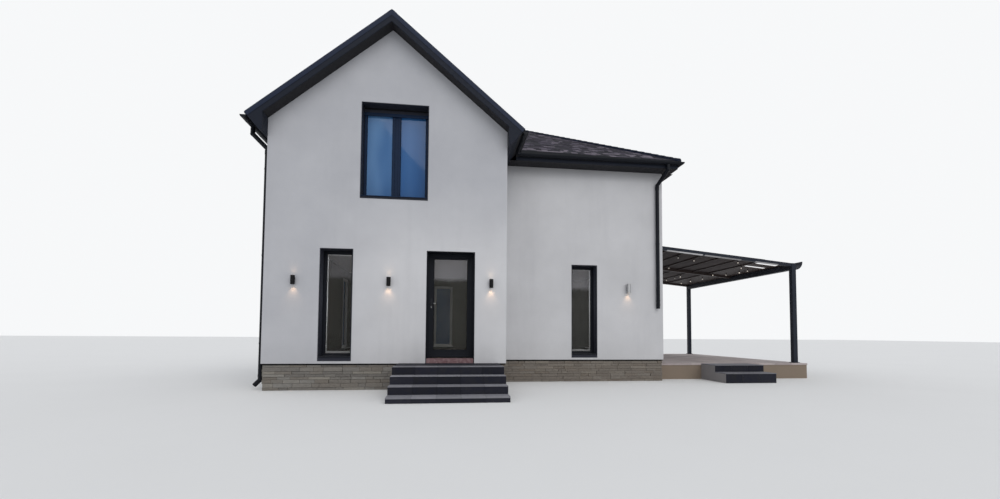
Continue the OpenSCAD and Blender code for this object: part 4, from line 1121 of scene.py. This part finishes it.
def make_door():
    """Beads, seals, lock plates and lever parts that ride on the leaf."""
    beads = Shape("door_beads")
    lo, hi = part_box("front_door_glass")
    leaf_lo, leaf_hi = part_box("front_door")
    for y0, y1 in ((leaf_lo.y - 0.004, lo.y - 0.0005), (hi.y + 0.0005, leaf_hi.y + 0.004)):
        ring(beads, lo.x, hi.x, lo.z, hi.z, 0.02, y0, y1, 0.003, None, 0.019)
    beads.box((leaf_lo.x + 0.004, leaf_lo.y - 0.012, leaf_lo.z + 0.01),
              (leaf_hi.x - 0.004, leaf_lo.y, leaf_lo.z + 0.05), 0.004)
    beads.finish(FRAME_METAL, "frame_metal", DOOR)
    seals = Shape("door_seals")
    for y0, y1 in ((lo.y - 0.002, lo.y - 0.0005), (hi.y + 0.0005, hi.y + 0.002)):
        ring(seals, lo.x, hi.x, lo.z, hi.z, SEAL_W, y0, y1, 0.0005, None, 0.026)
    seals.finish(GASKET, "frame_metal", DOOR)
    locks = Shape("door_locks")
    collars = Shape("lever_collars")
    sleeves = Shape("lever_sleeves")
    handle_lo, handle_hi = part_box("front_door_handle")
    x = handle_lo.x + LEVER_X
    lock_z = handle_lo.z + LOCK_UP
    lever_z = (handle_lo.z + handle_hi.z) / 2
    for y, out in ((leaf_lo.y - 0.008, -1), (leaf_hi.y + 0.008, 1)):
        locks.tube((x, y, lock_z), (x, y + out * 0.01, lock_z), LOCK_R, LOCK_R - 0.001)
        locks.box((x - 0.0015, y + out * 0.0101, lock_z - 0.006),
                  (x + 0.0015, y + out * 0.0105, lock_z + 0.006))
        collars.tube((x, y, lever_z), (x, y + out * 0.006, lever_z), LEVER_COLLAR_R,
                     LEVER_COLLAR_R - 0.002)
    for y in (handle_lo.y + 0.01, handle_hi.y - 0.01):
        sleeves.tube((x + 0.05, y, lever_z), (x + 0.095, y, lever_z), SLEEVE_R)
    locks.finish(STEEL, "handle_steel", DOOR)
    collars.finish(GUNMETAL, "handle_steel", DOOR)
    sleeves.finish(STEEL, "handle_steel", DOOR)


# Lamps: the lens inside a tube's end, and the beams that leave it downwards and upwards
LENS_R = 0.033
LENS_IN = 0.016
BEAM_COLOUR = (1.0, 0.63, 0.36)
BEAM_WIDTH = math.radians(84)
BEAM_LEAN = math.radians(14)
BEAM_DOWN = 1.6
BEAM_UP = 0.3


def new_light(name, kind, energy, colour):
    """A light of the scene; the caller gives it its size and its place."""
    data = bpy.data.lights.new(name, kind)
    data.energy = energy
    data.color = colour
    return in_scene(name, data)


def make_lamps():
    """Lenses and beams of the three wall lamps, which shine both ways, and of the side lamp."""
    bulbs = Shape("lamp_bulbs")
    z0, z1 = low("wall_lamps").z, high("wall_lamps").z
    for x in LAMP_XS:
        lamp_light(bulbs, x, FRONT - LAMP_OUT, z0, -1, BEAM_DOWN)
        lamp_light(bulbs, x, FRONT - LAMP_OUT, z1, 1, BEAM_UP)
    lo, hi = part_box("side_lamp")
    lamp_light(bulbs, (lo.x + hi.x) / 2, lo.y + (hi.x - lo.x) / 2, lo.z, -1, BEAM_DOWN)
    bulbs.finish(WARM_GLOW, "lamp_black")


def lamp_light(bulbs, x, y, z, way, power):
    """A glowing lens inside a tube's end and the soft beam that leaves it; way is 1 up and -1 down.

    The beam leans towards the wall, so that it starts close to the lamp.
    """
    lens = z - way * LENS_IN
    bulbs.tube((x, y, lens - 0.004), (x, y, lens + 0.004), LENS_R)
    beam = new_light("lamp_beam", "SPOT", power, BEAM_COLOUR)
    beam.data.spot_size = BEAM_WIDTH
    beam.data.spot_blend = 1.0
    beam.data.shadow_soft_size = 0.025
    beam.location = (x, y, z + way * 0.004)
    beam.rotation_euler = (BEAM_LEAN if way < 0 else math.pi - BEAM_LEAN, 0, 0)


# Pergola: bulbs under the cross bars, as bar and y, and under the boards, as x and y
BAR_BULBS = [(6, 2.85), (5, 2.2), (5, 5.5), (5, 5.9), (5, 6.55), (3, 4.2), (3, 2.65), (2, 2.55)]
BOARD_BULBS = [(10.25, 3.17), (10.25, 3.57), (10.2, 4.2), (9.92, 4.5), (10.1, 5.45), (10.06, 6.2),
               (10.05, 6.87)]

BULB_R = 0.016
SOCKET_H = 0.045

# The cloth's bays between the cross bars, how deep it sags in each and how finely it is cut
BAYS = 6
COVER_SAG = 0.02
COVER_STEPS = 60

# Light strips along the first rail, as start, end and glow
STRIPS = ((0.36, 0.7, 0.75), (0.7, 1.38, 1.0), (1.44, 1.9, 0.5), (1.9, 2.5, 0.35), (2.92, 3.6, 0.6))

# Plates under the posts and the bolts at their corners
PLATE_LAP = 0.03
BOLT_OUT = 0.015
BOLT_R = 0.009


def rail_z(x):
    """Height of the rails' tops at a distance along X."""
    return RAIL_WALL_Z - (x - WING_X) * RAIL_FALL


def make_pergola():
    """Cloth cover with light strips, trims round the slots, post feet and small bulbs."""
    lo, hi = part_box("pergola_cover")
    cover = Shape("cover_cloth")
    rings = []
    for i in range(COVER_STEPS + 1):
        t = i / COVER_STEPS
        x = lo.x + (hi.x - lo.x) * t
        dip = COVER_SAG * abs(math.sin(math.pi * BAYS * t))
        row = [(x, lo.y + (hi.y - lo.y) * s, rail_z(x) + 0.006 - dip * math.sin(math.pi * 2 * s) ** 2)
               for s in (j / 12 for j in range(13))]
        rings.append(row + [(px, py, pz - 0.003) for px, py, pz in reversed(row)])
    cover.loft(rings, smooth=True)
    cloth = cover.finish(CLOTH, "cover_cloth", replaces=("pergola_cover",))
    run = math.hypot(hi.x - lo.x, (hi.x - lo.x) * RAIL_FALL)

    strips = Shape("pergola_light_strips")
    rails_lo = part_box("pergola_rails")[0]
    slope = Matrix.Rotation(math.atan(RAIL_FALL), 4, "Y")
    place = Matrix.Translation((rails_lo.x, rails_lo.y + 0.04, rail_z(rails_lo.x) - RAIL_H)) @ slope
    for start, end, glow in STRIPS:
        strips.box((start + 0.002, -0.052, -0.012), (end - 0.002, 0.008, 0.012), 0.002, glow, place)
    strips.finish(STRIP_GLOW, "pergola_metal")

    trims = Shape("slot_trims")
    boards_lo, boards_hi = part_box("pergola_slats")
    run = (boards_hi.x - boards_lo.x) / math.cos(math.atan(RAIL_FALL))
    place = Matrix.Translation((boards_lo.x, 0, rail_z(boards_lo.x))) @ slope
    for mid in SLOT_YS:
        for side in (-1, 1):
            ya, yb = sorted((mid + side * SLOT_W / 2, mid + side * (SLOT_W / 2 - SLOT_TRIM)))
            trims.box((0.0, ya, -0.026), (run, yb, -0.003), 0.003, place=place)
        inner = SLOT_W / 2 - SLOT_TRIM
        for xa in (0.0, run - SLOT_TRIM):
            trims.box((xa, mid - inner, -0.025), (xa + SLOT_TRIM, mid + inner, -0.004), 0.003, place=place)
    trims.finish(PERGOLA_BROWN, "pergola_metal")

    fixings = Shape("pergola_fixings")
    lo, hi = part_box("pergola_posts")
    post = hi.x - lo.x
    z = high("terrace").z + 0.004
    for y in (lo.y, hi.y - post):
        fixings.box((lo.x - PLATE_LAP, y - PLATE_LAP, z), (hi.x + PLATE_LAP, y + post + PLATE_LAP, z + 0.01),
                    0.002)
        for dx in (-BOLT_OUT, post + BOLT_OUT):
            for dy in (-BOLT_OUT, post + BOLT_OUT):
                fixings.tube((lo.x + dx, y + dy, z + 0.01), (lo.x + dx, y + dy, z + 0.022), BOLT_R, sides=6)
    fixings.finish(PERGOLA_METAL, "pergola_metal")

    bulbs = Shape("pergola_bulbs")
    sockets = Shape("pergola_bulb_sockets")
    bar_step = (high("pergola_cover").x - low("pergola_cover").x) / BAYS
    hung = [(rails_lo.x + bar * bar_step - 0.017, y, 0.034) for bar, y in BAR_BULBS]
    hung += [(x, y, 0.028) for x, y in BOARD_BULBS]
    for x, y, under in hung:
        z = rail_z(x) - under
        sockets.tube((x, y, z), (x, y, z - SOCKET_H), 0.013, 0.011, sides=12)
        rings = []
        for t in (math.pi * (m + 0.3) / 6.6 for m in range(7)):
            r = BULB_R * math.sin(t) + 0.001
            rings.append([(x + r * math.cos(a), y + r * math.sin(a), z - 0.06 + 0.02 * math.cos(t))
                          for a in (2 * math.pi * n / 12 for n in range(12))][::-1])
        bulbs.loft(rings, rng.uniform(0.1, 1.0), smooth=True)
    sockets.finish(GASKET, "pergola_metal")
    bulbs.finish(BULB_GLOW, "lamp_black")


# Materials of the CAD nodes that stay
for material, names in (
        (PLASTER, ("front_wall_left", "front_wall_right", "front_gable_wall", "left_wall", "rear_gable_wall",
                   "return_wall", "wing_front_wall", "wing_end_wall", "wing_rear_wall")),
        (MORTAR, ("plinth",)), (FLOOR_BOARDS, ("ground_floor",)), (INNER_PAINT, ("upper_floor",)),
        (TRIM, ("verge_boards", "wing_eaves", "eave_boxes")), (GUTTER, ("gutters", "downpipes")),
        (FRAME_METAL, ("window_frames", "window_sills", "door_frame", "front_door")),
        (LINING, ("window_linings",)), (WINDOW_GLASS, ("window_glass",)), (THRESHOLD, ("door_threshold",)),
        (DOOR_GLASS, ("front_door_glass",)), (GUNMETAL, ("front_door_handle",)),
        (LAMP_BLACK, ("wall_lamps",)),
        (STEEL, ("door_hinge_barrels", "door_hinge_pins", "side_lamp")),
        (RISER, ("entry_step_1", "entry_step_2", "entry_step_3", "entry_landing")),
        (TERRACE, ("terrace",)), (STEP_SIDE, ("terrace_steps",)), (PERGOLA_RAILS, ("pergola_rails",)),
        (PERGOLA_METAL, ("pergola_posts", "pergola_outer_beam", "pergola_wall_beam")),
        (PERGOLA_BROWN, ("pergola_cross_bars", "pergola_slats"))):
    for name in names:
        dress(name, material)

make_windows()
make_roofs()
make_drips()
make_caps()
make_verges()
make_soffits()
make_rainwater()
make_plinth()
make_steps()
make_threshold()
make_door()
make_lamps()
make_pergola()


# Stage
STAGE_SIZE = 120.0
ROOM_LAMP_POWER = 46.0
ROOM_LAMP_UP = 1.35
ROOM_LAMP_IN = 0.75
SUN_POWER = 0.9
SKY_POWER = 0.78


def make_floor():
    """Plain pale ground far past the house on all sides."""
    mesh = bpy.data.meshes.new("floor")
    corners = [(x * STAGE_SIZE, y * STAGE_SIZE, 0) for x, y in ((-1, -1), (1, -1), (1, 1), (-1, 1))]
    mesh.from_pydata(corners, [], [(0, 1, 2, 3)])
    k = Look("floor_paper", rough=0.9)
    mesh.materials.append(k.done(k.mix(k.noise(0.4), (222, 222, 221), (226, 226, 225))))
    floor = in_scene("floor", mesh)


def make_room_lamp(x, y):
    """A soft lamp beside a ground-floor window, which shows the white boards round it."""
    lamp = new_light("room_lamp", "POINT", ROOM_LAMP_POWER, (0.95, 0.98, 1.0))
    lamp.data.shadow_soft_size = 0.12
    lamp.location = (x, y, FLOOR_Z + ROOM_LAMP_UP)


def make_light():
    """An even sky that looks white where it is seen or mirrored, and a soft sun from the front."""
    world = bpy.data.worlds.new("studio")
    world.use_nodes = True
    bpy.context.scene.world = world
    tree = world.node_tree
    back = tree.nodes["Background"]
    seen = tree.nodes.new("ShaderNodeBackground")
    seen.inputs["Color"].default_value = (0.93, 0.94, 0.95, 1.0)
    back.inputs["Color"].default_value = (0.92, 0.95, 1.0, 1.0)
    back.inputs["Strength"].default_value = SKY_POWER
    link = tree.links.new
    path = tree.nodes.new("ShaderNodeLightPath")
    shown = path.outputs["Is Camera Ray"]
    for ray in ("Is Glossy Ray", "Is Transmission Ray"):
        join = tree.nodes.new("ShaderNodeMath")
        join.operation = "MAXIMUM"
        link(shown, join.inputs[0])
        link(path.outputs[ray], join.inputs[1])
        shown = join.outputs[0]
    mix = tree.nodes.new("ShaderNodeMixShader")
    link(shown, mix.inputs[0])
    link(back.outputs[0], mix.inputs[1])
    link(seen.outputs[0], mix.inputs[2])
    link(mix.outputs[0], tree.nodes["World Output"].inputs["Surface"])
    sun = new_light("soft_sun", "SUN", SUN_POWER, (1.0, 0.97, 0.94))
    sun.data.angle = math.radians(50)
    sun.rotation_euler = (math.radians(52), 0, math.radians(16))


# Camera: fitted to the photograph, whose frame is 1000 by 499 pixels
PHOTO_W = 1000.0
PHOTO_H = 499.0
FOCAL_PX = 468.12
CENTRE_X = 508.17
CENTRE_Y = 311.37
CAM_YAW = 0.1282
CAM_PITCH = 0.0485
CAM_ROLL = 0.0062
CAM_PLACE = Vector((1.208, -9.977, 1.1416))


def make_camera():
    """The photograph's camera: its place, its aim and the shift of its picture."""
    ahead = Vector((math.sin(CAM_YAW) * math.cos(CAM_PITCH), math.cos(CAM_YAW) * math.cos(CAM_PITCH),
                    math.sin(CAM_PITCH)))
    level = Vector((math.cos(CAM_YAW), -math.sin(CAM_YAW), 0))
    up = level.cross(ahead)
    right = level * math.cos(CAM_ROLL) + up * math.sin(CAM_ROLL)
    up = right.cross(ahead)
    data = bpy.data.cameras.new("camera")
    data.sensor_width = 36.0
    data.lens = FOCAL_PX / PHOTO_W * data.sensor_width
    data.shift_x = (PHOTO_W / 2 - CENTRE_X) / PHOTO_W
    data.shift_y = (CENTRE_Y - PHOTO_H / 2) / PHOTO_W
    camera = in_scene("camera", data)
    camera.matrix_world = turned(CAM_PLACE, right, up, -ahead)
    bpy.context.scene.camera = camera


make_floor()
make_light()
make_room_lamp(-0.3, FRONT + ROOM_LAMP_IN)
make_room_lamp(3.75, WING_Y + ROOM_LAMP_IN)
make_camera()
bpy.context.scene.view_settings.view_transform = "Standard"
